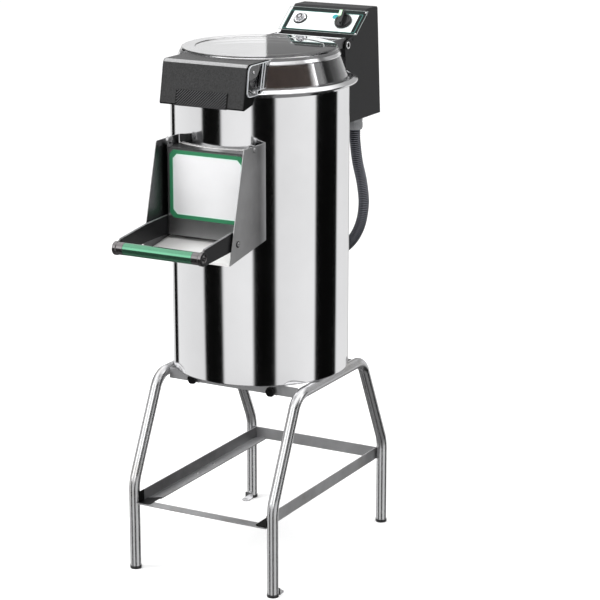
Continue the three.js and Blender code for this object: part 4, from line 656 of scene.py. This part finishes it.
def make_drum():
    wall = [
        (180, 446), *arc(196.5, 449.5, 3.5, -90, 0, 6), (200, 1096), (198, 1096),
        *arc(196.5, 449.5, 1.5, 0, -90, 4), (180, 448),
    ]
    shell = carved(
        turned(wall, DRUM_SIDES), block(-90.5, 90.5, -206, -100, 795.5, 946.5, edge=0),
        wall_hole(22.2, 35, 769), wall_hole(10.2, 53, 1062), wall_hole(HOSE_HOLE, -CONDUIT_TURN, GLAND_HEIGHT),
    )
    piece("drum_skin", shell, "mirror_steel", "drum_shell", sharp=30, weighted=False)
    ring = lathed([
        (193, 1096.3), (200.3, 1096.3), (200.3, 1090), (209.65, 1095.0), (217.4, 1098.6),
        (218.4, 1102.0), (206.8, 1108.6), (203.5, 1106.3), (193, 1106.3),
    ], [0.4, 0, 0.8, 9, 1.8, 2.6, 2.6, 2, 0.4], 6, DRUM_SIDES)
    piece("rim_ring", ring, "rim_steel", "drum_rim", sharp=50)


# --- stand
LEG_X, LEG_Y = 179, 267


def make_legs():
    corners = [(LEG_Y, 4.3), (LEG_Y, 206), (156, 433.2), (-156, 433.2), (-LEG_Y, 206), (-LEG_Y, 4.3)]
    line = rounded(corners, [0, 90, 52, 52, 90, 0], 14, closed=False)
    tube = swept([(LEG_X, y, z) for y, z in line], 12.5, 40)
    stem = block(-10, 10, 14.3, 16.8, 0, 16, edge=0.5)
    foot = rounded([(10, 14.3), (10, 39.3), (-10, 39.3), (-10, 14.3)], [0, 9.9, 9.9, 0], 8)
    tread = plate(foot, 0, 2.5, "Z", [circle(3.6, 24, 0, 29.3)], edge=0.5, steps=1)
    pad = block(-2.5, 2.5, 6.25, 15.5, 10.5, 16, edge=0.6)
    right = merged(tube, moved(merged(stem, tread, pad), Matrix.Translation((LEG_X, -LEG_Y, 0))))

    def tongue_faces(middle, normal):
        return abs(middle.y) > 279.7 and middle.z < 20

    for side, form in (("right", right), ("left", moved(right, about_z(180)))):
        piece(
            f"stand_tube_{side}", form, "tube_steel", f"stand_frame_{side}", sharp=45,
            others=[("rail_shade", tongue_faces)],
        )
    for end, y in (("front", -LEG_Y), ("rear", LEG_Y)):
        for side, x in (("left", -LEG_X), ("right", LEG_X)):
            boot = lathed([
                (0, 0), (13.4, 0), (13.4, 7), (12.7, 7), (12.7, 4), (0, 4),
            ], [0, 1.4, 0.5, 0.3, 0.2, 0], 4, 48, "Z", (x, y, 0))
            piece(f"boot_{end}_{side}", boot, "black_plastic", f"foot_cap_{end}_{side}")


def make_shelf():
    gusset = rounded([
        (-166, -240), (-166, -273), (-142, -273), (-136.4, -267), (-136.4, -218),
    ], [0, 1, 3, 3, 0], 3)
    rail_end = merged(
        plate(gusset, 160.6, 162, "Z", steps=1), block(-166.2, -163.7, -268, -250.9, 160.7, 186),
    )
    ends = {"shelf_rail_left": rail_end, "shelf_rail_right": mirrored(rail_end)}

    def wall_faces(middle, normal):
        return normal.x * middle.x < -100

    # The end walls and the right gusset take deep black, a black corner piece darkened further as painted shade; the
    # left gusset takes the shade sheet
    def end_faces(middle, normal):
        return middle.y < -220 and 160.55 < middle.z < 190 and (middle.x > 0 or middle.z > 162.5)

    def left_gusset_faces(middle, normal):
        return middle.y < -220 and 160.55 < middle.z < 162.5 and middle.x < 0

    looks = [("rail_shade", wall_faces), ("deep_black", end_faces), ("shade_sheet", left_gusset_faces)]
    for name in ("cross_strip_front", "cross_strip_rear", *ends, "shelf_bar_front"):
        form = softened(of_node(name), 0.45)
        if name in ends:
            form = merged(form, ends[name])
        piece(f"{name}_steel", form, "bar_steel", name, others=looks)
    rear = block(-166.2, 166.2, 264.5, 267, 158, 186, edge=0.45)
    piece("shelf_bar_rear_steel", rear, "bar_steel", "shelf_bar_rear")


def make_knobs():
    outline = []
    for i in range(96):
        angle = 2 * math.pi * i / 96
        radius = 11.4 - 0.4 * (1 - math.cos(6 * angle))
        outline.append((radius * math.cos(angle), radius * math.sin(angle)))
    head = plate(outline, -11.8, -4.3, "Y", edge=1.4, steps=3)
    dish = turned([(0, -11.9), (5.5, -11.9), (5.2, -11.3), (0, -11.1)], 32, "Y")
    boss = turned([
        (0, -6), (7, -6), (7, -0.8), (6.5, -0.3), (4, -0.3), (4, 14.6), (3.5, 15), (0, 15),
    ], 36, "Y")
    whole = merged(carved(head, dish), boss)
    for place, side, turn in (
        ("front_left", -1, 0), ("front_right", 1, 0), ("rear_left", 1, 180), ("rear_right", -1, 180),
    ):
        form = moved(whole, about_z(turn) @ Matrix.Translation((side * 101.4, -130, 425.5)))
        piece(f"knob_{place}", form, "knob_black", f"thumb_knob_{place}")


# --- chute and discharge door
PIVOT = (-217, 986.5)
STOP = (0, -290, 796)
GRIP = (-428, 793)


def make_chute():
    outline = rounded(
        [(-325, 754.7), (-168.9, 780), (-168.9, 994.5), (-261.5, 994.5)], [1.5, 0.5, 1, 5], 6,
    )
    sheet = plate(outline, 108, 110, "X", edge=0.45)
    pin = lathed([
        (0, 95), (4, 95), (4, 101.3), (10, 101.3), (10, 109), (5.5, 109), (5.5, 110.6), (4, 112.4), (0, 112.4),
    ], [0, 0.4, 0, 0.6, 0, 0, 0.3, 0.8, 0], 3, 40, "X", (0, *PIVOT))
    stop = lathed([
        (0, 108), (5, 108), (5, 111.2), (3.8, 112.4), (2.3, 112.4), (2.3, 111.2), (0, 111.2),
    ], [0, 0, 0.6, 0.6, 0.1, 0.1, 0], 3, 32, "X", STOP)
    right = merged(sheet, pin, stop)

    # Painted shade: the cheeks' inner faces, towards the drum, take the darker sheet
    def inside(middle, normal):
        return normal.x * middle.x < -80 and abs(middle.x) < 108.5

    for side, form in (("right", right), ("left", mirrored(right))):
        piece(
            f"cheek_sheet_{side}", form, "cheek_steel", f"chute_cheek_{side}",
            others=[("painted_shade_sheet", inside)],
        )
    ring = lathed([
        (2.6, 109.5), (7.2, 109.5), (7.2, 110.6), (6.0, 111.4), (4.6, 111.4), (2.6, 110.6),
    ], [0, 0.2, 0.2, 0.4, 0.4, 0], 2, 32, "X", STOP)
    eye = disc(1.8, 111, 111.6, 20, "X", STOP)
    rivet = lathed([
        (0, 109.5), (2.6, 109.5), (2.6, 110.4), (1.6, 111.2), (0, 111.3),
    ], [0, 0.1, 0.4, 0.4, 0], 3, 28, "X", (0, -218.4, 985))
    piece("stop_rings", both(merged(ring, eye)), "rubber", body="machine")
    piece("cheek_rivets", both(rivet), "arm_edge", body="machine")
    softened_piece("chute_sheet", "pale_sheet", "chute_floor", 0.4)
    # The collar takes the darker sheet all over, as painted shade
    softened_piece("collar_sheet", "painted_shade_sheet", "discharge_collar", 0.4)


def chamfered(half, low, high, cut):
    """A box outline with its corners cut off."""
    return [
        (-half + cut, low), (half - cut, low), (half, low + cut), (half, high - cut),
        (half - cut, high), (-half + cut, high), (-half, high - cut), (-half, low + cut),
    ]


def frame_strip(outer, inner, low, high, plane):
    """A flat strip between two outlines of as many corners."""
    count = len(outer)
    top = 2 * count
    points = [PLANES[plane](u, v, w) for w in (low, high) for loop in (outer, inner) for u, v in loop]
    faces = []
    for i in range(count):
        j = (i + 1) % count
        a, b, c, d = i, j, count + j, count + i
        faces += [
            [a, b, c, d], [a + top, d + top, c + top, b + top],
            [a, a + top, b + top, b], [d, c, c + top, d + top],
        ]
    return points, faces


def make_door():
    half, face, low, top = 101, -231, 783.5, 977.5
    front = plate(
        rounded(oblong(-half, half, low, top), 1, 3), face, face + 2, "Y", edge=0.5,
    )
    curve = []
    for i in range(61):
        x = half - 2 * half * i / 60
        curve.append((x, -math.sqrt(202.5 ** 2 - x * x)))
    flange = plate([(-half, face), (half, face), *curve], top - 2, top, "Z", edge=0.5)
    ear = rounded([
        (face, low), (face + 22, low + 22), (face + 22, top - 1), (-207.6, 983), (-207, 986.5),
        (-207, 996.5), (-227, 996.5), (-227, 986.5), (face, 975),
    ], [1, 3, 0, 0, 0, 9.9, 9.9, 2, 2], 8)
    side = plate(ear, half - 2, half, "X", [circle(4.6, 32, *PIVOT)], edge=0.45)

    def top_faces(middle, normal):
        return normal.z > 0.9 and top - 1 < middle.z < top + 1

    piece(
        "door_sheet", merged(front, flange, side, mirrored(side)), "door_steel", "discharge_door",
        others=[("shade_sheet", top_faces)],
    )
    # Painted highlight: the hem takes the pale sheet, much lighter than the door's own steel
    hem = swept([(x, y - 1.2, top + 0.1) for x, y in curve], 1.3, 12)
    piece("door_hem", hem, "pale_sheet", body="discharge_door", sharp=60)
    line = frame_strip(
        chamfered(85.4, 830.6, 963.9, 10), chamfered(83.8, 832.2, 962.3, 9.3), -232.3, -231.8, "Y",
    )
    piece("label_line", line, "mint_line", body="discharge_door")
    softened_piece("gasket_strip", "rubber", "door_gasket", 1.0, 3)


def make_arms():
    outline = rounded([
        (-209, 782.5), (-209, 826), (-313.7, 822.5), (-420.7, 810.6), *arc(*GRIP, 14.5, 75, 285, 24)[:-1],
        (-413.5, 776.5), (-313.7, 782.5),
    ], [2, 2, 30, 6] + [0] * 24 + [4, 30], 4)
    bar = plate(outline, 101.3, 105.3, "X", edge=0.8)
    cap = lathed([
        (0, 72.5), (10.2, 72.5), (10.2, 84.8), (13.7, 84.8), (13.7, 100), (15.2, 101.6), (15.2, 108.4),
        (14, 109.8), (9.4, 109.8), (8.6, 107.4), (4.4, 107.4), (4.2, 109.2), (2, 109.2), (1.6, 107.6), (0, 107.6),
    ], [0, 0.5, 0.2, 0.5, 0.4, 0.8, 1, 0.8, 0.3, 0.5, 0.2, 0.5, 0.2, 0.2, 0], 3, 48, "X", (0, *GRIP))
    right = merged(bar, cap)
    cap_start = -412

    def rim_faces(middle, normal):
        return middle.y > cap_start and abs(normal.x) < 0.9

    def cap_faces(middle, normal):
        return middle.y < cap_start and abs(middle.x) < 109

    looks = [("arm_edge", rim_faces), ("cap_black", cap_faces)]
    for side, form in (("right", right), ("left", mirrored(right))):
        piece(f"arm_{side}", form, "arm_face", f"door_arm_{side}", others=looks)
    line = [(103.3, -211, 825.8), (103.3, -313.7, 822.6), (103.3, -366, 816.9), (103.3, -418, 811.2)]
    piece("arm_beads", both(swept(line, 1.9, 16)), "bead_steel", body="discharge_door", sharp=60)
    tube = lathed([(10.5, -84.5), (13.5, -84.5), (13.5, 84.5), (10.5, 84.5)], 0.3, 2, 64, "X", (0, *GRIP))
    piece("door_tube", tube, "green_enamel", "door_handle")


# --- lid, its handle and hinge
LID_SIDES = 192
SHOULDER = 1156
HINGE = (0, 241, 1150)


def cone_radius(z):
    return 174 + 21.5 * (1171 - z) / (1171 - 1109.6)


def cone_tool(grow, low=1100, high=1180):
    return turned([
        (0, low), (cone_radius(low) + grow, low), (cone_radius(high) + grow, high), (0, high),
    ], LID_SIDES)


def make_lid():
    shoulder = cone_radius(SHOULDER)
    outside = [
        (0, 1173.6), (141.2, 1173.6),
        *rounded([(141, 1173.6), (142, 1173.6), (143.4, 1175), (145, 1175)], 0.8, 3, False)[1:],
        *arc(170, 1171, 4, 90, 20, 8), (173.9, 1169.6), (shoulder + 0.2, SHOULDER),
        *fillet((shoulder, SHOULDER), (195.5, 1109.6), (199.5, 1109.6), 2, 4),
        (199.2, 1109.6), (199.5, 1109.2), (199.5, 1106.6),
    ]
    inside = [
        (192.5, 1106.6), (shoulder - 3, SHOULDER), (shoulder - 3.4, SHOULDER + 0.4),
        (shoulder - 6, SHOULDER + 0.8), (168, 1169), (166, 1170.6), (0, 1170.6),
    ]
    dome = turned(outside + inside, LID_SIDES)
    ear_outline = rounded([
        (-241.4, 1100.6), (-195.9, 1100.6), (-195.9, 1110.8), (-87, 1110.8), (-87, 1168), (-233, 1168),
    ], [12, 3, 2, 0, 0, 18], 10)
    ear = carved(plate(ear_outline, 104, 106.5, "X", edge=0.6), cone_tool(0.05))
    piece("lid_shell", merged(dome, ear, mirrored(ear)), "clear_sheet", "lid", sharp=35)
    band = lathed([
        (173.2, 1170.4), (174.6, 1169.6), (177.3, 1164.5), (177.5, 1164.3), (181.0, 1157.8),
        (180.4, 1156.2), (shoulder - 0.4, 1156.2), (173.2, 1169.4),
    ], [0.3, 0.8, 0, 0, 1.2, 0.5, 0.1, 0.1], 4, LID_SIDES)
    piece(
        "lid_band", band, "clear_band", body="lid", sharp=50,
        others=[("band_shade", lambda middle, normal: middle.z > 1164.4)],
    )
    # Painted highlight: a pale frame round each clear ear and two pale strips along the cone stand for the bright
    # edges of the clear plastic
    glint_hole = rounded([
        (-239.6, 1102.2), (-197.5, 1102.2), (-197.5, 1112.4), (-88.5, 1112.4), (-88.5, 1166.4), (-231.6, 1166.4),
    ], [10.6, 2, 2, 0, 0, 16.6], 10)
    glint_frame = plate(ear_outline, 103.8, 107, "X", [glint_hole], edge=0.4)
    glint_strips = [plate([
        (y, 1110.5), (y + 1.6, 1110.5), (y + 15.6, 1168), (y + 14, 1168),
    ], 106.3, 108.4, "X", edge=0.4) for y in (-187, -176.5)]
    glint_frame = merged(carved(glint_frame, cone_tool(0.2)), carved(merged(*glint_strips), cone_tool(0.2)))
    piece("lid_edge_glints", both(glint_frame), "painted_edge_glint", body="lid", sharp=40)
    screw = lathed([
        (0, 106), (3.4, 106), (3.4, 107.6), (2.4, 108.6), (1.2, 108.6), (1.0, 107.9), (0, 107.9),
    ], [0, 0.2, 0.5, 0.6, 0.2, 0.2, 0], 3, 32, "X", (0, -213.8, 1151.8))
    stud = lathed([
        (0, 106), (3.8, 106), (3.8, 109), (2.6, 110.4), (0, 110.6),
    ], [0, 0.2, 0.8, 0.8, 0], 3, 32, "X", (0, -214, 1108.5))
    piece("lid_screws", both(merged(screw, stud)), "rim_steel", body="lid", sharp=40)


def make_lid_handle():
    half, corner, lip_z = 103.7, (-254.4, 1073.5), 1079.95
    outer = fillet((0, 1170), (-235, 1170), corner, 9, 10)
    inner = fillet((0, 1166), (-231, 1166), (-250.4, 1077.5), 5, 10)
    above = (-251.4, 1088.5)
    fold = plate([
        (-87, 1170), *outer, *rounded([above, corner, (-224, lip_z)], 4, 5, False)[1:-1],
        (-224, lip_z), (-224, lip_z + 4), (-250.4, 1077.5), *inner[::-1], (-87, 1166),
    ], -half, half, "X", edge=0.8)
    end = plate([
        *outer, *rounded([above, corner, (-212, 1082.5)], 4, 5, False)[1:-1],
        (-212, 1082.5), (-203, 1100.3), (-203, 1168), (-226, 1170),
    ], half - 3, half, "X", edge=0.6)
    neck = disc(cone_radius(1166) + 0.6, 1150, 1190, LID_SIDES)
    rim = disc(221.7, 1084, 1106.9, LID_SIDES)
    whole = merged(*(carved(form, neck, rim) for form in (fold, end, mirrored(end))))

    # Painted highlight: the faces of the fold take a lighter, glossier copy of the handle's coat
    def fold_faces(middle, normal):
        return middle.y < -225 and middle.z > 1158 and normal.y < -0.2 and normal.z > 0.32

    # Painted shade: the underside, bottom lip and end sides of the handle take deep black
    def shade_faces(middle, normal):
        return middle.z < 1077.6 or normal.z < -0.5 or (abs(normal.x) > 0.9 and abs(middle.x) > 102)

    piece(
        "lid_grab", whole, "handle_coat", "lid_handle", sharp=40,
        others=[("painted_fold_highlight", fold_faces), ("deep_black", shade_faces)],
    )
    lean = math.atan2(19.4, 96.5)
    place = Matrix.Translation((0, *corner)) @ Matrix.Rotation(-lean, 4, "X")
    pad_half, count, width, climb = 64, 20, 3.4, 35
    pad = block(-pad_half, pad_half, -1.3, -0.3, 1, 36, edge=0.3)
    ribs = []
    for i in range(-6, count):
        low_x = -pad_half + i * 2 * pad_half / count
        a = max(low_x, -pad_half + 0.4)
        b = min(low_x + climb, pad_half - 0.4 - width)
        if b - a < 1.5:
            continue
        z0, z1 = max(1 + a - low_x, 1.3), min(1 + b - low_x, 35.7)
        rib = [(a, z0), (a + width, z0), (a + (z1 - z0) + width, z1), (a + (z1 - z0), z1)]
        ribs.append(plate(rib, -2.25, -1.1, "Y", edge=0.45, steps=1))
    piece("grip_base", moved(pad, place), "grip_rubber", "lid_grip_pad")
    # The ribs are painted lighter than the pad, as if lit
    piece("grip_ribs", moved(merged(*ribs), place), "lit_rib_rubber", body="lid")


def make_hinge():
    strap = [(157, 1145), (223, 1145), *arc(*HINGE[1:], 9, -90, 60, 16), (236.5, 1168), (157, 1168)]
    side = plate(strap, 88, 91, "X", [circle(4.3, 32, *HINGE[1:])], edge=0.4, steps=1)
    cross = plate(rounded([
        (-89.5, 1159), (-41, 1145), (41, 1145), (89.5, 1159), (89.5, 1168), (-89.5, 1168),
    ], [1, 3, 3, 1, 2, 2], 4), 222, 225, "Y", edge=0.5)
    bolt = lathed([
        (0, 215), (6, 215), (9, 218.5), (9, 223.5), (0, 223.5),
    ], [0, 1, 1.5, 0, 0], 4, 40, "Y", (0, 0, 1155))
    cone = cone_tool(0.3, 1120, 1190)
    whole = merged(*(carved(form, cone) for form in (side, mirrored(side), cross, bolt)))
    # Painted shade: the flat sides of the hinge straps take the darker sheet instead of the mirror steel
    piece(
        "hinge_plate", whole, "mirror_steel", "lid_hinge_bracket",
        others=[("painted_shade_sheet", lambda middle, normal: abs(normal.x) > 0.85 and abs(middle.x) > 86)],
    )
    rod = lathed([
        (0, -95), (2, -95), (2, -98), (4, -98), (4, 98), (2, 98), (2, 95), (0, 95),
    ], [0, 0, 0.3, 0.6, 0.6, 0.3, 0, 0], 3, 40, "X", HINGE)
    piece(
        "hinge_rod", rod, "rim_steel", "lid_hinge_pin",
        others=[("deep_black", lambda middle, normal: abs(middle.x) > 95)],
    )
    washer = lathed([
        (5.6, 95.2), (8.8, 95.2), (8.8, 96.2), (8.0, 96.9), (6.4, 96.9), (5.6, 96.2),
    ], [0, 0.1, 0.4, 0.3, 0.3, 0.2], 3, 40, "X", HINGE)
    plug = turned([(4.2, 95.2), (5.7, 95.2), (5.7, 96.0), (4.2, 96.0)], 32, "X", HINGE)
    piece("hinge_washers", both(washer), "rim_steel", body="machine")
    piece("hinge_plugs", both(plug), "rubber", body="machine")


# --- control box and panel
PANEL = math.atan2(1223 - 1168.8, 337 - 268)
PANEL_PLACE = Matrix.Translation((0, 337, 1223)) @ Matrix.Rotation(PANEL, 4, "X")
BEZEL = (-60, -47)
DIAL = (54, -49)


def on_panel(form, x=0.0, s=0.0):
    return moved(form, PANEL_PLACE @ Matrix.Translation((x, s, 0)))


def groove_faces(middle, normal):
    """Whether a face lies in the ring-shaped groove of the button, which takes black as painted shade."""
    spot = PANEL_PLACE.inverted() @ middle
    return 4.4 < math.hypot(spot.x - BEZEL[0], spot.y - BEZEL[1]) < 7.3 and spot.z > 8.2


def rim_side_faces(middle, normal):
    """Whether a face leans away from the panel's own front; on the bezel these faces take machine grey as painted
    shade.
    """
    return normal.dot(Vector((0, -math.sin(PANEL), math.cos(PANEL)))) < 0.45


def make_box():
    softened_piece("box_case", "black_coat", "box_shell", 0.9, 3, sharp=40)
    softened_piece("box_cover", "black_coat", "box_back_cover", 0.4)
    softened_piece("bracket_sheet", "sheet_steel", "box_bracket", 0.6)


def make_button():
    ring = lathed([
        (9.9, 1.5), (14.5, 1.5), (14.5, 3.6), (13.2, 5.4), (11.6, 5.5), (11.2, 4.6), (9.9, 4.4),
    ], [0.2, 0.3, 0.8, 0.8, 0.5, 0.4, 0.2], 3, 64)
    piece(
        "bezel_ring", on_panel(ring, *BEZEL), "rim_steel", "button_bezel",
        others=[("machine_grey", rim_side_faces)],
    )
    # Painted shadow: a dark rubber ring round the foot of the bezel
    washer = lathed([(14.6, 1.3), (17.0, 1.3), (17.0, 2.1), (14.6, 2.1)], 0.3, 2, 64)
    piece("bezel_shadow_ring", on_panel(washer, *BEZEL), "rubber", body="machine")
    cap = lathed([
        (0, -12), (6.4, -12), (6.4, -7), (9.6, -7), (9.6, 9.4), (8.6, 10.5), (7.6, 10.5), (7.0, 8.9),
        (4.6, 8.9), (4.2, 10.3), (3.0, 10.3), (2.6, 9.3), (0, 9.3),
    ], [0, 0.3, 0, 0.3, 0.4, 0.5, 0.3, 0.2, 0.2, 0.3, 0.3, 0.3, 0], 3, 64)
    piece(
        "button_cap", on_panel(cap, *BEZEL), "button_metal", "start_button",
        others=[("black_plastic", groove_faces)],
    )


def make_dial():
    base, bar_top, turn = 1.5, 20.5, about_z(9)
    skirt = lathed([
        (0, base), (21, base), (21, base + 4.6), (19.4, base + 8), (16, base + 8), (14.6, base + 6.9),
        (0, base + 6.9),
    ], [0, 0.4, 1.6, 1.2, 0.6, 0.6, 0], 4, 72)
    bar = rounded([(-4.5, 23), (-4.5, -19), (4.5, -19), (4.5, 23)], 4.4, 8)
    pointer = moved(plate(bar, base + 5, bar_top, "Z", edge=1.3, steps=3), turn)
    shaft = disc(3, -8, base + 2, 24)
    piece("dial_knob", on_panel(merged(skirt, pointer, shaft), *DIAL), "dial_black", "timer_dial")
    mark = moved(block(-8.6, -0.9, 2.5, 21, base + 7, bar_top + 0.4, edge=0.9), turn)
    piece("dial_mark", on_panel(mark, *DIAL), "mint_mark", body="timer_dial")


def make_prints():
    """The plain ticks, spot, lines and screws of the panel; the outer grey line is a painted highlight along the
    frame's edge.
    """
    tick = block(25, 28, -0.45, 0.45, 1.1, 1.45, edge=0.1)
    ticks = [moved(tick, about_z(60 - 30 * i)) for i in range(11)]
    piece("dial_ticks", on_panel(merged(*ticks), *DIAL), "tick_print", body="machine")
    piece("dial_spot", on_panel(disc(7.2, 1.1, 1.45, 40), 26.5, -34), "teal_mark", body="machine")
    for name, look, half, low, high, width, top in (
        ("panel_edge_highlight", "painted_frame_highlight", 102.7, -86.2, -10.3, 0.7, 1.45),
        ("panel_inline", "teal_line", 95.0, -81.5, -22.0, 1.6, 1.5),
    ):
        outer = oblong(-half, half, low, high)
        inner = oblong(-half + width, half - width, low + width, high - width)
        piece(name, on_panel(frame_strip(outer, inner, 0.9, top, "Z")), look, body="machine")
    screw = lathed([
        (0, 1.0), (2.0, 1.0), (2.0, 1.7), (1.2, 2.2), (0, 2.2),
    ], [0, 0.1, 0.3, 0.3, 0], 2, 24)
    screws = [moved(screw, Matrix.Translation((x, y, 0))) for x in (-98.4, 98.4) for y in (-15, -83)]
    piece("panel_screws", on_panel(merged(*screws)), "rim_steel", body="machine")


# --- glands and pipes
def make_glands():
    turn = about_z(-CONDUIT_TURN)
    hexagon = rounded(circle(20, 6), 1.2, 3)
    bore = [circle(HOSE_HOLE, 32)]
    ridged = []
    for i in range(96):
        radius, angle = 18.5 if i % 4 < 2 else 17.9, math.radians(i * 3.75)
        ridged.append((radius * math.cos(angle), radius * math.sin(angle)))
    nut = plate(hexagon, 953.7, 968.7, "Z", bore, edge=0.8)
    grip = plate(ridged, 939.5, 951.5, "Z", bore, edge=0.5, steps=1)
    sleeve = lathed([
        (HOSE_HOLE, 935.3), (16.5, 935.3), (17.6, 936.6), (17.6, 954.5), (HOSE_HOLE, 954.5),
    ], [0.3, 0.6, 0.6, 0, 0], 3, 48)
    upper = moved(merged(nut, grip, sleeve), turn @ Matrix.Translation((0, 355, 0)))
    piece("gland_upper", upper, "gland_grey", "conduit_gland_upper")
    nut = plate(hexagon, 198, 215, "Y", bore, edge=0.8)
    nut = carved(nut, disc(DRUM_SEAT, -40, 40, DRUM_SIDES))
    sleeve = lathed([
        (HOSE_HOLE, 214), (18.5, 214), (18.5, 219.7), (16.5, 221.7), (HOSE_HOLE, 221.7),
    ], [0, 0, 1, 0.6, 0.3], 3, 48, "Y")
    lower = moved(merged(nut, sleeve), turn @ Matrix.Translation((0, 0, GLAND_HEIGHT)))
    piece("gland_lower", lower, "gland_grey", "conduit_gland_lower")


def make_pipes():
    for name, node_name, radius, wall, bend, reach, drop, angle, height in (
        ("drain_elbow", "drain_pipe", 21, 2, 34, 22, 36, 35, 769),
        ("inlet_elbow", "water_inlet", 9, 1.8, 16, 16, 22, 53, 1062),
    ):
        start = 204 + reach
        line = [(198.5, 0), *arc(start, -bend, bend, 90, 0, 14), (start + bend, -bend - drop)]
        pipe = swept([(0, y, z) for y, z in line], radius, 40, bore=radius - wall)
        flange = lathed([
            (radius - wall / 2, 150), (radius + 9, 150), (radius + 9, 204), (radius - wall / 2, 204),
        ], [0, 0, 1, 0], 3, 48, "Y")
        whole = merged(pipe, carved(flange, disc(DRUM_SEAT, -60, 60, DRUM_SIDES)))
        turn = about_z(angle) @ Matrix.Translation((0, 0, height))
        piece(name, moved(whole, turn), "tube_steel", node_name)


# --- CAD nodes that keep their shape
KEPT = {
    "sheet_steel": ("base_plate", "chamber_floor", "motor_plate"),
    "grit": ("chamber_liner", "abrasive_disc"),
    "cast_metal": ("spindle", "bearing_housing", "driven_pulley", "motor_pulley"),
    "rubber": ("drive_belt", "lid_hinge_seal"),
    "machine_grey": ("motor", "timer_body"),
    "green_print": ("door_label_frame",),
    "white_print": ("door_label_field",),
    "panel_print": ("panel_frame",),
    "panel_white": ("panel_field",),
}


def paint_kept():
    for look, names in KEPT.items():
        for name in names:
            materials = frame["nodes"][name].data.materials
            materials.clear()
            materials.append(LOOKS[look])


# --- floor, light and surroundings
def make_floor():
    half = 20
    mesh = bpy.data.meshes.new("floor")
    mesh.from_pydata([(x, y, 0) for x, y in oblong(-half, half, -half, half)], [], [(0, 1, 2, 3)])
    mesh.materials.append(LOOKS["pale_floor"])
    floor = linked("floor", mesh)
    floor.visible_glossy = False


def area_light(name, place, aim, size, power):
    data = bpy.data.lights.new(name, "AREA")
    data.size = size
    data.energy = power
    light = linked(name, data)
    light.location = place
    light.rotation_mode = "QUATERNION"
    light.rotation_quaternion = (Vector(aim) - Vector(place)).to_track_quat("-Z", "Y")
    light.visible_glossy = False
    light.visible_camera = False


def make_world():
    """White for the camera, soft white on matt surfaces, light and dark panels in bright metal."""
    world = bpy.data.worlds.new("studio")
    scene.world = world
    world.use_nodes = True
    tree = world.node_tree
    tree.nodes.clear()
    # The ramps' ends meet behind the camera, this many degrees off; edge is half of the blur between two panels
    seam, camera_angle, edge = 0.88, 61.43, 1.6
    coord = node(tree, "TexCoord")
    split = node(tree, "SeparateXYZ", {"Vector": coord.outputs["Generated"]})
    angle = maths(tree, "ARCTAN2", split.outputs["Y"], split.outputs["X"])
    share = maths(tree, "MULTIPLY_ADD", angle, 1 / (2 * math.pi), 1.5 + (camera_angle - seam) / 360)
    around = maths(tree, "FRACT", share)

    def panels(first, levels):
        """Levels are (start, end, brightness at start, brightness at end) in degrees from the camera."""
        stops = []
        for start, end, a, b in levels:
            stops.append(((start + edge - seam) / 360 + 0.5, a))
            stops.append(((end - edge - seam) / 360 + 0.5, b))
        return ramp_of(tree, first + stops, around)

    def climb(start, end, most=1.0):
        """From 0 at one height of the view to most at another."""
        return ranged(tree, split.outputs["Z"], 0.0, most, start, end)

    def blend(factor, a, b):
        return node(tree, "Mix", {"Factor": factor, "A": a, "B": b}, data_type="RGBA").outputs["Result"]

    def sky(colour, strength):
        return node(tree, "Background", {"Color": colour, "Strength": strength}).outputs["Background"]

    def choice(factor, a, b):
        return node(tree, "MixShader", {"Fac": factor, 1: a, 2: b}).outputs["Shader"]

    low = panels([], [
        (-180, -154.8, 0.75, 0.85), (-154.8, -139.4, 0.003, 0.003), (-139.4, -78.1, 0.9, 0.8),
        (-78.1, -49.7, 0.003, 0.003), (-49.7, -8.8, 0.86, 0.92), (-8.8, 20.6, 0.002, 0.002),
        (20.6, 76.9, 0.82, 0.92), (76.9, 118.2, 0.002, 0.003), (118.2, 163, 0.85, 0.8), (163, 180, 0.6, 0.75),
    ])
    high = panels([(0.0, 1.3)], [
        (-179, -160, 1.2, 1.0), (-160, -80, 0.35, 0.35), (-76, -52, 2.6, 2.6), (-48, -18, 0.9, 0.9),
        (-15, 7, 2.2, 2.2), (10, 76, 0.02, 0.05), (82, 96, 2.2, 2.4), (102, 112, 0.2, 0.25),
        (116, 174, 0.5, 0.45), (176, 181, 0.06, 0.05),
    ])
    sides = blend(climb(0.08, 0.18), low, high)
    above = blend(climb(0.5, 0.8), sides, (1.7, 1.7, 1.7, 1))
    shiny = sky(blend(climb(-0.4, -0.55, 0.74), above, (0.02, 0.02, 0.02, 1)), 1.0)
    soft, white = sky(WHITE, 0.95), sky(WHITE, 1.0)
    path = node(tree, "LightPath").outputs
    seen = maths(tree, "MAXIMUM", path["Is Camera Ray"], path["Is Transmission Ray"])
    lit = choice(path["Is Glossy Ray"], soft, shiny)
    node(tree, "OutputWorld", {"Surface": choice(seen, lit, white)})


whiten_floor()
make_camera()
make_conduit()
make_drum()
make_legs()
make_shelf()
make_knobs()
make_chute()
make_door()
make_arms()
make_lid()
make_lid_handle()
make_hinge()
make_box()
make_button()
make_dial()
make_prints()
make_glands()
make_pipes()
paint_kept()
make_floor()
area_light("soft_left", (-3.2, -2.6, 3.2), (0, 0, 0.7), 2.4, 120)
area_light("soft_top", (0.3, -0.6, 4.4), (0, 0, 0.8), 3.0, 90)
make_world()

scene.view_settings.view_transform = "Standard"
scene.view_settings.look = "None"
